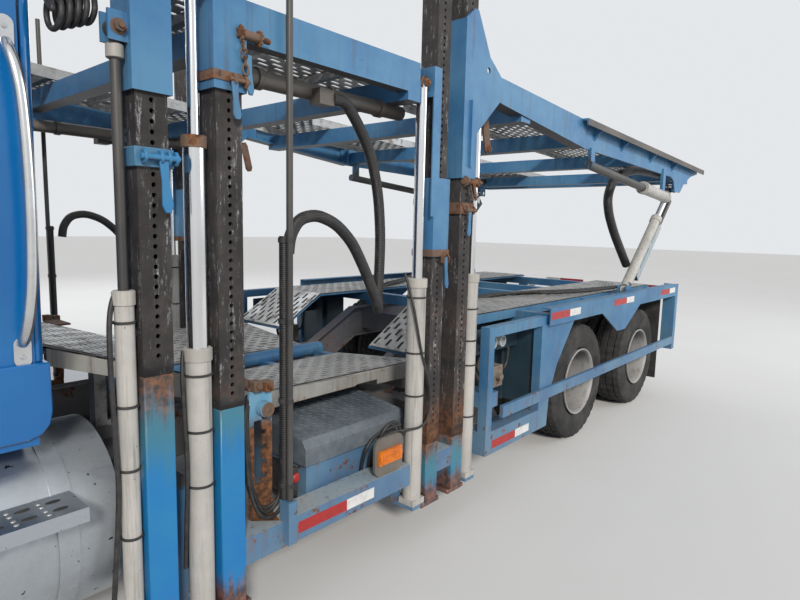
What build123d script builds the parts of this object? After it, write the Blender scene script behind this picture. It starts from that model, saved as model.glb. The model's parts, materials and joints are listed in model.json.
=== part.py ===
# Car transporter truck: conventional cab, low frame on two driven axles, lower
# deck between four pairs of perforated posts, and three upper decks that the
# lift cylinders raise. All sizes are in millimetres.
# X runs back along the truck, Y to its right, Z up. The origin is on the
# ground, midway along the truck and on its centre plane. Left is towards -Y.

import os
from math import atan2, cos, hypot, radians, sin, tan

from build123d import *

os.makedirs("parts", exist_ok=True)

# Driving dimensions: stations measured back from the front bumper
bumper_x = -4700.0
front_axle_x = bumper_x + 1050
cab_front_x = bumper_x + 1750
cab_back_x = bumper_x + 2900
post_1_x = bumper_x + 3208
post_2_x = bumper_x + 3480
post_3_x = bumper_x + 4685
post_4_x = bumper_x + 4915
box_frame_front_x = bumper_x + 5177
rail_front_x = bumper_x + 5890
drive_axle_x = bumper_x + 6690
tandem_spacing = 1320.0
rail_rear_x = bumper_x + 8690
rear_deck_tip_x = bumper_x + 9400

# Widths, as distances from the centre plane
side_half_width = 1295.0
post_outer_y = 1250.0
frame_half_width = 432.0
cab_half_width = 1100.0

# Heights above the ground
axle_z = 460.0
frame_top_z = 740.0
frame_kick_top_z = 980.0
cab_floor_z = 960.0
cab_roof_z = 2460.0
rail_top_z = 1130.0
post_foot_z = 200.0
post_top_z = 3050.0
mid_beam_top_z = 2410.0
head_beam_top_z = 2750.0

# Clearances
running_clearance = 6.0
seat_gap = 0.3


def bar(x0, x1, y0, y1, z0, z1, mode=Mode.ADD):
    """A straight bar between two opposite corners."""
    with Locations(((x0 + x1) / 2, (y0 + y1) / 2, (z0 + z1) / 2)):
        Box(x1 - x0, y1 - y0, z1 - z0, mode=mode)


def upright_rod(x, y, z0, z1, radius, mode=Mode.ADD):
    """A round bar that stands upright."""
    with Locations((x, y, (z0 + z1) / 2)):
        Cylinder(radius, z1 - z0, mode=mode)


def cross_rod(x, z, y0, y1, radius, mode=Mode.ADD):
    """A round bar that lies across the truck."""
    with Locations((x, (y0 + y1) / 2, z)):
        Cylinder(radius, y1 - y0, rotation=(90, 0, 0), mode=mode)


def long_rod(x0, x1, y, z, radius, mode=Mode.ADD):
    """A round bar that lies along the truck."""
    with Locations(((x0 + x1) / 2, y, z)):
        Cylinder(radius, x1 - x0, rotation=(0, 90, 0), mode=mode)


def side_outline(points, y=0.0, inset=0.0):
    """A closed side outline of (x, z) points at one y, drawn in by the inset."""
    with BuildSketch(Plane.XZ.offset(-y)) as outline:
        with BuildLine():
            Polyline(*points, close=True)
        make_face()
        if inset:
            offset(amount=-inset, kind=Kind.INTERSECTION)
    return outline.sketch


def side_plate(points, y0, y1, mode=Mode.ADD):
    """A plate with the given side outline, from y0 to y1."""
    extrude(side_outline(points, y0), amount=y0 - y1, mode=mode)


def finish(piece, label):
    """Names the piece and writes it out."""
    piece.part.label = label
    export_step(piece.part, f"parts/{label}.step")


# Chassis frame
hood_front_x = bumper_x + 120
hood_floor_z = 700.0
hood_hinge_y = 250.0
hood_hinge_half_width = 18.0
hood_pin_radius = 10.0
cab_mount_xs = [cab_front_x + 200, cab_back_x - 200]
cab_mount_length = 120.0
rail_depth = 240.0
rail_flange = 76.0
rail_web = 9.0
frame_front_x = bumper_x + 250
kick_start_x = bumper_x + 5250
kick_end_x = bumper_x + 5700
frame_rear_x = bumper_x + 8800
crossmember_length = 110.0
crossmember_height = 150.0
outrigger_length = 120.0
outrigger_depth = 90.0
outrigger_outer_y = post_outer_y - 132
low_crossmember_xs = [bumper_x + 420, bumper_x + 2350, bumper_x + 3900, bumper_x + 4950]
high_crossmember_xs = [bumper_x + 5900, drive_axle_x + tandem_spacing / 2, bumper_x + 8700]
outrigger_xs = [(post_1_x + post_2_x) / 2, (post_3_x + post_4_x) / 2, box_frame_front_x + 60]


def rail_outline(inset):
    """Side outline of a frame rail, drawn in by the given inset."""
    top_low = frame_top_z - inset
    top_high = frame_kick_top_z - inset
    bottom_low = frame_top_z - rail_depth + inset
    bottom_high = frame_kick_top_z - rail_depth + inset
    return [
        (frame_front_x, top_low),
        (kick_start_x, top_low),
        (kick_end_x, top_high),
        (frame_rear_x, top_high),
        (frame_rear_x, bottom_high),
        (kick_end_x, bottom_high),
        (kick_start_x, bottom_low),
        (frame_front_x, bottom_low),
    ]


with BuildPart() as chassis_frame:
    side_plate(rail_outline(0), -frame_half_width, -frame_half_width + rail_flange)
    side_plate(rail_outline(rail_web), -frame_half_width + rail_web,
               -frame_half_width + rail_flange, mode=Mode.SUBTRACT)
    mirror(about=Plane.XZ)
    web_inner_y = frame_half_width - rail_web
    for xs, top_z in ((low_crossmember_xs, frame_top_z), (high_crossmember_xs, frame_kick_top_z)):
        middle_z = top_z - rail_depth / 2
        for x in xs:
            bar(x - crossmember_length / 2, x + crossmember_length / 2, -web_inner_y, web_inner_y,
                middle_z - crossmember_height / 2, middle_z + crossmember_height / 2)
    for x in outrigger_xs:
        top_z = frame_top_z - 60
        for side in (-1, 1):
            y_in = side * (frame_half_width - rail_web)
            y_out = side * outrigger_outer_y
            bar(x - outrigger_length / 2, x + outrigger_length / 2, min(y_in, y_out), max(y_in, y_out),
                top_z - outrigger_depth, top_z)
    for side in (-1, 1):
        y = side * hood_hinge_y
        bar(hood_front_x - 14, low_crossmember_xs[0], y - hood_hinge_half_width, y + hood_hinge_half_width,
            hood_floor_z - 60, hood_floor_z - 8)
        bar(hood_front_x - 14, hood_front_x + 14, y - hood_hinge_half_width, y + hood_hinge_half_width,
            hood_floor_z - 60, hood_floor_z + 10)
        pin_reach = hood_hinge_half_width + 26
        cross_rod(hood_front_x, hood_floor_z, y - pin_reach, y + pin_reach, hood_pin_radius)
        for x in cab_mount_xs:
            y = side * (frame_half_width - rail_flange / 2)
            bar(x - cab_mount_length / 2, x + cab_mount_length / 2, y - 30, y + 30, frame_top_z, cab_floor_z)
finish(chassis_frame, "chassis_frame")

# Stinger: the low coupling beam behind the driven axles
stinger_half_width = 140.0
stinger_depth = 150.0
stinger_low_top_z = 420.0
stinger_end_x = bumper_x + 9250
tow_pin_x = stinger_end_x - 110
tow_pin_radius = 44.5
tow_pin_height = 110.0
stinger_plate_thickness = 30.0

with BuildPart() as tow_stinger:
    hanger_front_x = drive_axle_x + tandem_spacing + axle_z + 130
    hanger_rear_x = frame_rear_x
    hanger_bottom_z = stinger_low_top_z - stinger_depth
    hanger_top_z = frame_kick_top_z - rail_depth
    side_plate(
        [
            (hanger_front_x, hanger_top_z),
            (hanger_rear_x, hanger_top_z),
            (hanger_rear_x, stinger_low_top_z),
            (stinger_end_x, stinger_low_top_z),
            (stinger_end_x, stinger_low_top_z - 60),
            (hanger_rear_x + 40, hanger_bottom_z),
            (hanger_rear_x - 160, hanger_bottom_z),
        ],
        -stinger_half_width, stinger_half_width,
    )
    bar(hanger_front_x, hanger_rear_x, -frame_half_width, frame_half_width,
        hanger_top_z - stinger_plate_thickness, hanger_top_z)
    upright_rod(tow_pin_x, 0, stinger_low_top_z, stinger_low_top_z + tow_pin_height, tow_pin_radius)
finish(tow_stinger, "tow_stinger")

# Engine and radiator, plain blocks under the hood
engine_front_x = bumper_x + 700
engine_rear_x = bumper_x + 1690
engine_half_width = 310.0
engine_bottom_z = 560.0
engine_top_z = 1330.0
gearbox_rear_x = bumper_x + 2150
gearbox_bottom_z = 420.0
radiator_x = bumper_x + 560
radiator_thickness = 90.0
radiator_half_width = 340.0

with BuildPart() as engine_block:
    bar(engine_front_x, engine_rear_x, -engine_half_width, engine_half_width, engine_bottom_z, engine_top_z)
    bar(radiator_x - radiator_thickness / 2, engine_front_x, -radiator_half_width, radiator_half_width,
        engine_bottom_z + 40, engine_top_z - 40)
    bar(engine_front_x + 60, engine_front_x + 200, -frame_half_width + rail_web,
        frame_half_width - rail_web, engine_bottom_z, engine_bottom_z + 90)
    bar(engine_rear_x, gearbox_rear_x, -200, 200, gearbox_bottom_z, engine_bottom_z + 330)
finish(engine_block, "engine_block")

# Cab: one hollow shell with the doors cut out of its sides
cab_wall = 50.0
cab_roof_front_x = cab_front_x + 480
cowl_z = 1700.0
cab_edge_radius = 90.0
door_gap = 5.0
door_front_x = cab_front_x + 90
door_rear_x = cab_back_x - 180
door_bottom_z = cab_floor_z + 50
door_top_z = cab_roof_z - 130
door_pillar_top_x = cab_roof_front_x + 60
glass_thickness = 6.0
screen_corner = 70.0
rear_window_width = 900.0
rear_window_height = 330.0
rear_window_z = 1960.0
cab_outline = [
    (cab_front_x, cab_floor_z),
    (cab_front_x, cowl_z),
    (cab_roof_front_x - 90, cab_roof_z - 60),
    (cab_roof_front_x + 60, cab_roof_z),
    (cab_back_x - 60, cab_roof_z),
    (cab_back_x, cab_roof_z - 50),
    (cab_back_x, cab_floor_z),
]
door_outline = [
    (door_front_x, door_bottom_z),
    (door_front_x, cowl_z + 20),
    (door_pillar_top_x, door_top_z),
    (door_rear_x, door_top_z),
    (door_rear_x, door_bottom_z),
]
side_window_outline = [
    (door_front_x + 90, cowl_z + 30),
    (door_pillar_top_x + 25, door_top_z - 90),
    (door_rear_x - 90, door_top_z - 90),
    (door_rear_x - 90, cowl_z + 30),
]
screen_run = cab_roof_front_x - 90 - cab_front_x
screen_rise = cab_roof_z - 60 - cowl_z
screen_tilt = atan2(screen_run, screen_rise)
screen_width = 2 * cab_half_width - 320
screen_height = hypot(screen_run, screen_rise) - 170
screen_plane = Plane(
    origin=(cab_front_x + screen_run / 2, 0, cowl_z + screen_rise / 2),
    x_dir=(0, 1, 0),
    z_dir=(-cos(screen_tilt), 0, sin(screen_tilt)),
)
rear_window_plane = Plane(origin=(cab_back_x, 0, rear_window_z), x_dir=(0, 1, 0), z_dir=(1, 0, 0))

door_hinge_x = door_front_x
door_hinge_y = cab_half_width + 2
door_hinge_zs = [cab_floor_z + 190, cowl_z - 120]
hinge_barrel_radius = 14.0
hinge_pin_radius = 8.0
hinge_half_height = 40.0
hinge_middle_half = 18.0
hinge_leaf = 48.0


def cab_hinge(z):
    """The cab's half of one left door hinge, with the pin."""
    bar(door_hinge_x - hinge_leaf, door_hinge_x - hinge_barrel_radius + 4, -door_hinge_y - 5,
        -cab_half_width + 2, z - hinge_half_height, z + hinge_half_height)
    for z0, z1 in ((z - hinge_half_height, z - hinge_middle_half - 1), (z + hinge_middle_half + 1, z + hinge_half_height)):
        bar(door_hinge_x - hinge_barrel_radius, door_hinge_x, -door_hinge_y - 5, -door_hinge_y + 1, z0, z1)
        upright_rod(door_hinge_x, -door_hinge_y, z0, z1, hinge_barrel_radius)
    bar(door_hinge_x - hinge_barrel_radius - 1, door_hinge_x + hinge_barrel_radius + 1,
        -door_hinge_y - hinge_barrel_radius - 1, -cab_half_width + 3, z - hinge_middle_half - 1,
        z + hinge_middle_half + 1, mode=Mode.SUBTRACT)
    upright_rod(door_hinge_x, -door_hinge_y, z - hinge_half_height, z + hinge_half_height, hinge_pin_radius)


def door_hinge(z):
    """The door's half of one left door hinge, bored for the pin."""
    bar(door_hinge_x - hinge_barrel_radius - 3, door_hinge_x + hinge_barrel_radius + 3,
        -door_hinge_y - hinge_barrel_radius, -door_hinge_y + hinge_barrel_radius + 3,
        z - hinge_half_height - 3, z + hinge_half_height + 3, mode=Mode.SUBTRACT)
    bar(door_hinge_x, door_hinge_x + hinge_leaf, -door_hinge_y - 5, -cab_half_width + 2,
        z - hinge_middle_half, z + hinge_middle_half)
    upright_rod(door_hinge_x, -door_hinge_y, z - hinge_middle_half, z + hinge_middle_half, hinge_barrel_radius)
    upright_rod(door_hinge_x, -door_hinge_y, z - hinge_half_height, z + hinge_half_height,
                hinge_pin_radius + seat_gap, mode=Mode.SUBTRACT)


with BuildPart() as cab_shell:
    extrude(side_outline(cab_outline), amount=cab_half_width, both=True)
    fillet(cab_shell.faces().sort_by(Axis.Z)[-1].edges().filter_by(Axis.X), cab_edge_radius)
    extrude(side_outline(cab_outline, inset=cab_wall), amount=cab_half_width - cab_wall, both=True,
            mode=Mode.SUBTRACT)
    extrude(side_outline(door_outline), amount=cab_half_width + cab_wall, both=True, mode=Mode.SUBTRACT)
    with BuildSketch(screen_plane):
        RectangleRounded(screen_width, screen_height, screen_corner)
    extrude(amount=2 * cab_wall, both=True, mode=Mode.SUBTRACT)
    with BuildSketch(rear_window_plane):
        RectangleRounded(rear_window_width, rear_window_height, screen_corner)
    extrude(amount=2 * cab_wall, both=True, mode=Mode.SUBTRACT)
    for z in door_hinge_zs:
        for side in (-1, 1):
            y = side * door_hinge_y
            bar(door_hinge_x - hinge_barrel_radius - 3, door_hinge_x + hinge_barrel_radius + 3,
                y - hinge_barrel_radius - 3, y + hinge_barrel_radius + 3, z - hinge_half_height - 3,
                z + hinge_half_height + 3, mode=Mode.SUBTRACT)
        cab_hinge(z)
    mirror(about=Plane.XZ)
finish(cab_shell, "cab_shell")

with BuildPart() as cab_glass:
    with BuildSketch(screen_plane.offset(-cab_wall / 2)):
        RectangleRounded(screen_width - 2 * seat_gap, screen_height - 2 * seat_gap, screen_corner)
    extrude(amount=glass_thickness)
    with BuildSketch(rear_window_plane.offset(-cab_wall / 2)):
        RectangleRounded(rear_window_width - 2 * seat_gap, rear_window_height - 2 * seat_gap, screen_corner)
    extrude(amount=glass_thickness)
finish(cab_glass, "cab_glass")

# Doors, each with a mirror held out on a bent tube, and a window
mirror_tube_radius = 12.0
mirror_reach = 160.0
mirror_foot_z = cowl_z - 60
mirror_head_z = door_top_z - 50
mirror_width = 170.0
mirror_height = 400.0
mirror_depth = 60.0

with BuildPart() as door_left:
    inner_y = -(cab_half_width - cab_wall)
    extrude(side_outline(door_outline, inner_y, door_gap), amount=cab_wall)
    extrude(side_outline(side_window_outline, inner_y), amount=cab_wall, mode=Mode.SUBTRACT)
    skin_y = -cab_half_width
    tube_y = skin_y - mirror_reach
    foot_x = door_front_x + 45
    head_x = door_front_x + 520
    mirror_x = door_front_x + 60
    with BuildLine() as mirror_path:
        Polyline(
            (foot_x, skin_y + 6, mirror_foot_z),
            (foot_x, tube_y, mirror_foot_z),
            (foot_x, tube_y, mirror_head_z),
            (head_x, skin_y + 6, mirror_head_z),
        )
    with BuildSketch(Plane(origin=mirror_path.line @ 0, z_dir=mirror_path.line % 0)):
        Circle(mirror_tube_radius)
    sweep(path=mirror_path.line, transition=Transition.RIGHT)
    mirror_middle_z = (mirror_foot_z + mirror_head_z) / 2
    bar(mirror_x - mirror_depth / 2, mirror_x + mirror_depth / 2, tube_y - mirror_width / 2,
        tube_y + mirror_width / 2, mirror_middle_z - mirror_height / 2, mirror_middle_z + mirror_height / 2)
    for z in door_hinge_zs:
        door_hinge(z)
finish(door_left, "door_left")

with BuildPart() as door_right:
    mirror(door_left.part, about=Plane.XZ)
finish(door_right, "door_right")

with BuildPart() as door_glass_left:
    glass_y = -(cab_half_width - cab_wall / 2)
    extrude(side_outline(side_window_outline, glass_y, seat_gap), amount=glass_thickness)
finish(door_glass_left, "door_glass_left")

with BuildPart() as door_glass_right:
    mirror(door_glass_left.part, about=Plane.XZ)
finish(door_glass_right, "door_glass_right")

# Cab interior: dashboard with steering wheel, and two seats
dash_depth = 330.0
dash_bottom_z = 1330.0
dash_top_z = 1640.0
seat_y = 560.0
seat_half_width = 250.0
seat_front_x = cab_front_x + 600
seat_rear_x = cab_back_x - 110
seat_cushion_z = 1380.0
seat_top_z = 2030.0
steering_wheel_radius = 220.0
steering_rim_radius = 14.0
cabin_front_x = cab_front_x + cab_wall
cabin_floor_z = cab_floor_z + cab_wall
cabin_half_width = cab_half_width - cab_wall - 15

with BuildPart() as dashboard:
    side_plate(
        [
            (cabin_front_x, dash_bottom_z),
            (cabin_front_x, dash_top_z),
            (cabin_front_x + dash_depth - 120, dash_top_z),
            (cabin_front_x + dash_depth, dash_top_z - 90),
            (cabin_front_x + dash_depth - 60, dash_bottom_z),
        ],
        -cabin_half_width, cabin_half_width,
    )
    column_plane = Plane(
        origin=(cabin_front_x + dash_depth + 110, -seat_y, dash_top_z - 20),
        x_dir=(0, 1, 0), z_dir=(sin(radians(50)), 0, cos(radians(50))),
    )
    with Locations(column_plane):
        Torus(steering_wheel_radius, steering_rim_radius)
        Box(2 * steering_wheel_radius, 40, 16)
        Box(40, 2 * steering_wheel_radius, 16)
        with Locations((0, 0, -130)):
            Cylinder(30, 260)
finish(dashboard, "dashboard")

with BuildPart() as seats:
    for side in (-1, 1):
        side_plate(
            [
                (seat_front_x, cabin_floor_z),
                (seat_front_x, seat_cushion_z),
                (seat_rear_x - 190, seat_cushion_z - 40),
                (seat_rear_x - 120, seat_top_z),
                (seat_rear_x, seat_top_z),
                (seat_rear_x - 40, cabin_floor_z),
            ],
            side * seat_y - seat_half_width, side * seat_y + seat_half_width,
        )
finish(seats, "seats")

# Hood with its fenders, tilting forward as one piece
hood_rear_x = cab_front_x - 12
hood_wall = 35.0
arch_radius = 630.0
fender_outer_y = 1190.0
grille_half_width = 400.0
grille_bottom_z = 760.0
grille_top_z = 1230.0
lamp_y = 900.0
lamp_half_width = 170.0
lamp_bottom_z = 800.0
lamp_top_z = 960.0
# Sections of the hood: station, half width and top
hood_sections = [
    (hood_front_x, 560.0, 1330.0),
    (front_axle_x - 150, 700.0, 1470.0),
    (hood_rear_x, 880.0, cowl_z - 15),
]
hood_corner = 110.0


def hood_body(inset, front_inset, rear_reach, floor_drop):
    """The hood's centre body, drawn in by the wall to make its hollow."""
    stations = [hood_sections[0][0] + front_inset, hood_sections[1][0], hood_sections[2][0] + rear_reach]
    with BuildPart() as body:
        for x, (station, half_width, top_z) in zip(stations, hood_sections):
            bottom_z = hood_floor_z - floor_drop
            middle_z = (top_z - inset + bottom_z) / 2
            with BuildSketch(Plane(origin=(x, 0, middle_z), x_dir=(0, 1, 0), z_dir=(1, 0, 0))):
                Rectangle(2 * (half_width - inset), top_z - inset - bottom_z)
                chamfer(vertices().group_by(Axis.Z)[-1], hood_corner)
        loft(ruled=True)
    return body.part


fender_outline = [
    (hood_front_x + 30, hood_floor_z),
    (hood_front_x + 30, 1010),
    (hood_front_x + 200, 1120),
    (front_axle_x + 260, 1150),
    (front_axle_x + 600, 1010),
    (front_axle_x + 660, hood_floor_z),
]
hood_shell = hood_body(0, 0, 0, 0)
hood_hollow = hood_body(hood_wall, hood_wall, 50, 50)

with BuildPart() as hood:
    add(hood_shell)
    side_plate(fender_outline, -fender_outer_y, fender_outer_y)
    extrude(side_outline(fender_outline, -(fender_outer_y - hood_wall), hood_wall),
            amount=-2 * (fender_outer_y - hood_wall), mode=Mode.SUBTRACT)
    bar(hood_front_x + 30 + hood_wall, front_axle_x + 660 - hood_wall, -(fender_outer_y - hood_wall),
        fender_outer_y - hood_wall, hood_floor_z - 1, hood_floor_z + hood_wall + 1, mode=Mode.SUBTRACT)
    add(hood_hollow, mode=Mode.SUBTRACT)
    cross_rod(front_axle_x, axle_z, -side_half_width, side_half_width, arch_radius, mode=Mode.SUBTRACT)
    bar(hood_front_x - 10, hood_front_x + 2 * hood_wall, -grille_half_width, grille_half_width,
        grille_bottom_z, grille_top_z, mode=Mode.SUBTRACT)
    for side in (-1, 1):
        bar(hood_front_x - 10, hood_front_x + 3 * hood_wall, side * lamp_y - lamp_half_width,
            side * lamp_y + lamp_half_width, lamp_bottom_z, lamp_top_z, mode=Mode.SUBTRACT)
        y = side * hood_hinge_y
        notch = hood_hinge_half_width + running_clearance
        bar(hood_front_x - 30, hood_front_x + 2 * hood_wall, y - notch, y + notch, hood_floor_z - 30,
            hood_floor_z + 34, mode=Mode.SUBTRACT)
        for ear in (-1, 1):
            y = side * hood_hinge_y + ear * (notch + 10)
            bar(hood_front_x - 16, hood_front_x + hood_wall + 10, y - 10, y + 10, hood_floor_z - 16,
                hood_floor_z + 60)
        cross_rod(hood_front_x, hood_floor_z, side * hood_hinge_y - notch - 21, side * hood_hinge_y + notch + 21,
                  hood_pin_radius + seat_gap, mode=Mode.SUBTRACT)
finish(hood, "hood")

grille_slats = 7
grille_frame = 30.0
grille_slat_height = 26.0

with BuildPart() as grille:
    back_x = hood_front_x + hood_wall
    gap = seat_gap
    bar(hood_front_x - 8, back_x, -grille_half_width + gap, grille_half_width - gap,
        grille_bottom_z + gap, grille_top_z - gap)
    bar(hood_front_x - 20, back_x + 10, -grille_half_width + grille_frame, grille_half_width - grille_frame,
        grille_bottom_z + grille_frame, grille_top_z - grille_frame, mode=Mode.SUBTRACT)
    slat_pitch = (grille_top_z - grille_bottom_z - grille_frame) / (grille_slats + 1)
    for index in range(grille_slats):
        z = grille_bottom_z + grille_frame / 2 + slat_pitch * (index + 1)
        bar(hood_front_x, back_x - 10, -grille_half_width + grille_frame, grille_half_width - grille_frame,
            z - grille_slat_height / 2, z + grille_slat_height / 2)
finish(grille, "grille")

with BuildPart() as headlamps:
    for side in (-1, 1):
        bar(hood_front_x + 24, hood_front_x + 30 + hood_wall, side * lamp_y - lamp_half_width + seat_gap,
            side * lamp_y + lamp_half_width - seat_gap, lamp_bottom_z + seat_gap, lamp_top_z - seat_gap)
finish(headlamps, "headlamps")

# Front bumper with two tow eyes
bumper_bottom_z = 430.0
bumper_top_z = 690.0
bumper_half_width = 1190.0
bumper_thickness = 60.0
bumper_sweep = 160.0
tow_eye_y = 350.0
tow_eye_radius = 20.0
tow_lug_thickness = 40.0
tow_lug_half_width = 45.0
tow_eye_x = bumper_x + 140

with BuildPart() as front_bumper:
    with BuildSketch(Plane.XY.offset(bumper_bottom_z)):
        with BuildLine():
            Polyline(
                (bumper_x, -700), (bumper_x, 700),
                (bumper_x + bumper_sweep, bumper_half_width),
                (bumper_x + bumper_sweep + bumper_thickness, bumper_half_width - 10),
                (bumper_x + bumper_thickness, 690), (bumper_x + bumper_thickness, -690),
                (bumper_x + bumper_sweep + bumper_thickness, -bumper_half_width + 10),
                (bumper_x + bumper_sweep, -bumper_half_width), close=True,
            )
        make_face()
    extrude(amount=bumper_top_z - bumper_bottom_z)
    for side in (-1, 1):
        y0 = side * frame_half_width
        y1 = side * (frame_half_width - rail_flange)
        bar(bumper_x + bumper_thickness - 10, frame_front_x, min(y0, y1), max(y0, y1),
            frame_top_z - rail_depth, bumper_top_z - 20)
        bar(bumper_x + 8, bumper_x + 190, side * tow_eye_y - tow_lug_half_width,
            side * tow_eye_y + tow_lug_half_width, bumper_bottom_z - tow_lug_thickness, bumper_bottom_z + 10)
        upright_rod(tow_eye_x, side * tow_eye_y, bumper_bottom_z - 2 * tow_lug_thickness,
                    bumper_top_z - 60, tow_eye_radius, mode=Mode.SUBTRACT)
finish(front_bumper, "front_bumper")

# Front axle: drop beam with kingpin bosses, leaf springs and their hangers
kingpin_y = 830.0
kingpin_radius = 22.0
kingpin_bore_radius = kingpin_radius + seat_gap
beam_top_z = 465.0
beam_bottom_z = 400.0
beam_half_length = 45.0
beam_boss_radius = 42.0
spring_y = 394.0
spring_half_width = 38.0
spring_half_length = 620.0
frame_bottom_z = frame_top_z - rail_depth

with BuildPart() as front_axle:
    bar(front_axle_x - beam_half_length, front_axle_x + beam_half_length, -kingpin_y, kingpin_y,
        beam_bottom_z, beam_top_z)
    bar(front_axle_x - 2 * beam_half_length, front_axle_x + 2 * beam_half_length, -spring_y + spring_half_width + 40,
        spring_y - spring_half_width - 40, beam_bottom_z - 10, beam_bottom_z + 25, mode=Mode.SUBTRACT)
    for side in (-1, 1):
        upright_rod(front_axle_x, side * kingpin_y, beam_bottom_z, beam_top_z, beam_boss_radius)
        upright_rod(front_axle_x, side * kingpin_y, beam_bottom_z - 5, beam_top_z + 5, kingpin_bore_radius,
                    mode=Mode.SUBTRACT)
        side_plate(
            [
                (front_axle_x - spring_half_length, frame_bottom_z),
                (front_axle_x - spring_half_length + 60, frame_bottom_z),
                (front_axle_x - 120, beam_top_z + 25),
                (front_axle_x + 120, beam_top_z + 25),
                (front_axle_x + spring_half_length - 60, frame_bottom_z),
                (front_axle_x + spring_half_length, frame_bottom_z),
                (front_axle_x + spring_half_length, frame_bottom_z - 30),
                (front_axle_x + 140, beam_top_z - 5),
                (front_axle_x - 140, beam_top_z - 5),
                (front_axle_x - spring_half_length, frame_bottom_z - 30),
            ],
            side * spring_y - spring_half_width, side * spring_y + spring_half_width,
        )
finish(front_axle, "front_axle")

# Wheels and tyres: flats stand in for the round, with the lowest flat on the ground
wheel_sides = 24
tyre_half_width = 137.0
tyre_bead_radius = 250.0
tyre_wall_radius = 366.0
tyre_shoulder_half_width = 108.0
rim_flange_radius = 265.0
rim_flange_thickness = 14.0
rim_inner_radius = 236.0
wheel_half_width = 139.0
disc_thickness = 16.0
hub_radius = 105.0
hub_length = 120.0
spindle_radius = 34.0
hub_bore_radius = spindle_radius + seat_gap
front_wheel_y = 1030.0
outer_dual_y = 1044.0
dual_spacing = 300.0
inner_dual_y = outer_dual_y - dual_spacing
stud_circle_radius = 137.5


def round_section(x, y, radius):
    """A wheel's outline at one y, with a flat at its foot."""
    plane = Plane(origin=(x, y, axle_z), x_dir=(1, 0, 0), z_dir=(0, -1, 0))
    with BuildSketch(plane) as section:
        RegularPolygon(radius, wheel_sides, major_radius=False, rotation=180 / wheel_sides)
    return section.sketch


def drum(x, y0, y1, radius, mode=Mode.ADD):
    """A drum of flats about a wheel's axis, from y0 to y1."""
    extrude(round_section(x, y0, radius), amount=y0 - y1, mode=mode)


def tyre(x, y):
    """One tyre centred at y."""
    # Sections of the tyre: distance from its middle, and radius
    sections = [
        (-tyre_half_width + 12, tyre_bead_radius + 25),
        (-tyre_half_width, tyre_wall_radius),
        (-tyre_shoulder_half_width, axle_z),
        (tyre_shoulder_half_width, axle_z),
        (tyre_half_width, tyre_wall_radius),
        (tyre_half_width - 12, tyre_bead_radius + 25),
    ]
    with BuildPart() as ring:
        loft([round_section(x, y + offset_y, radius) for offset_y, radius in sections], ruled=True)
        drum(x, y - tyre_half_width - 1, y + tyre_half_width + 1, tyre_bead_radius, mode=Mode.SUBTRACT)
    return ring.part


def rim(x, y, disc_y, hub_y0, hub_y1, bore_radius):
    """One wheel: rim with two flanges, disc and hub."""
    with BuildPart() as wheel:
        drum(x, y - wheel_half_width, y + wheel_half_width, tyre_bead_radius - seat_gap)
        for side in (-1, 1):
            edge_y = y + side * wheel_half_width
            inner_edge_y = edge_y - side * rim_flange_thickness + side * seat_gap
            drum(x, min(edge_y, inner_edge_y), max(edge_y, inner_edge_y), rim_flange_radius)
        drum(x, y - wheel_half_width - 1, disc_y - disc_thickness / 2, rim_inner_radius, mode=Mode.SUBTRACT)
        drum(x, disc_y + disc_thickness / 2, y + wheel_half_width + 1, rim_inner_radius, mode=Mode.SUBTRACT)
        cross_rod(x, axle_z, hub_y0, hub_y1, hub_radius)
        cross_rod(x, axle_z, hub_y0 - 1, hub_y1 + 1, bore_radius, mode=Mode.SUBTRACT)
    return wheel.part


front_disc_y = -(front_wheel_y + 95)
front_hub_inner_y = -(front_wheel_y - 60)
dual_face_y = -(outer_dual_y + inner_dual_y) / 2
hub_outer_y = dual_face_y - hub_length

for name, side in (("left", -1), ("right", 1)):
    with BuildPart() as tyre_front:
        add(tyre(front_axle_x, side * front_wheel_y))
    finish(tyre_front, f"tyre_front_{name}")

with BuildPart() as wheel_front_left:
    add(rim(front_axle_x, -front_wheel_y, front_disc_y, front_disc_y - 60, front_hub_inner_y, hub_bore_radius))
finish(wheel_front_left, "wheel_front_left")

with BuildPart() as wheel_front_right:
    mirror(wheel_front_left.part, about=Plane.XZ)
finish(wheel_front_right, "wheel_front_right")

axle_names = (("drive_1", drive_axle_x), ("drive_2", drive_axle_x + tandem_spacing))
for axle_name, x in axle_names:
    with BuildPart() as tyres_left:
        add(tyre(x, -outer_dual_y))
        add(tyre(x, -inner_dual_y))
    finish(tyres_left, f"tyres_{axle_name}_left")
    with BuildPart() as wheels_left:
        add(rim(x, -outer_dual_y, dual_face_y - disc_thickness / 2, hub_outer_y,
                dual_face_y + disc_thickness, hub_bore_radius))
        add(rim(x, -inner_dual_y, dual_face_y + disc_thickness / 2, dual_face_y,
                dual_face_y + disc_thickness, hub_bore_radius))
    finish(wheels_left, f"wheels_{axle_name}_left")
    with BuildPart() as tyres_right:
        mirror(tyres_left.part, about=Plane.XZ)
    finish(tyres_right, f"tyres_{axle_name}_right")
    with BuildPart() as wheels_right:
        mirror(wheels_left.part, about=Plane.XZ)
    finish(wheels_right, f"wheels_{axle_name}_right")

# Steering knuckles: fork about the kingpin, with the spindle
knuckle_gap = 6.0
knuckle_lug_height = 34.0
knuckle_web_y0 = kingpin_y + beam_boss_radius + knuckle_gap
knuckle_web_y1 = knuckle_web_y0 + 36

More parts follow.
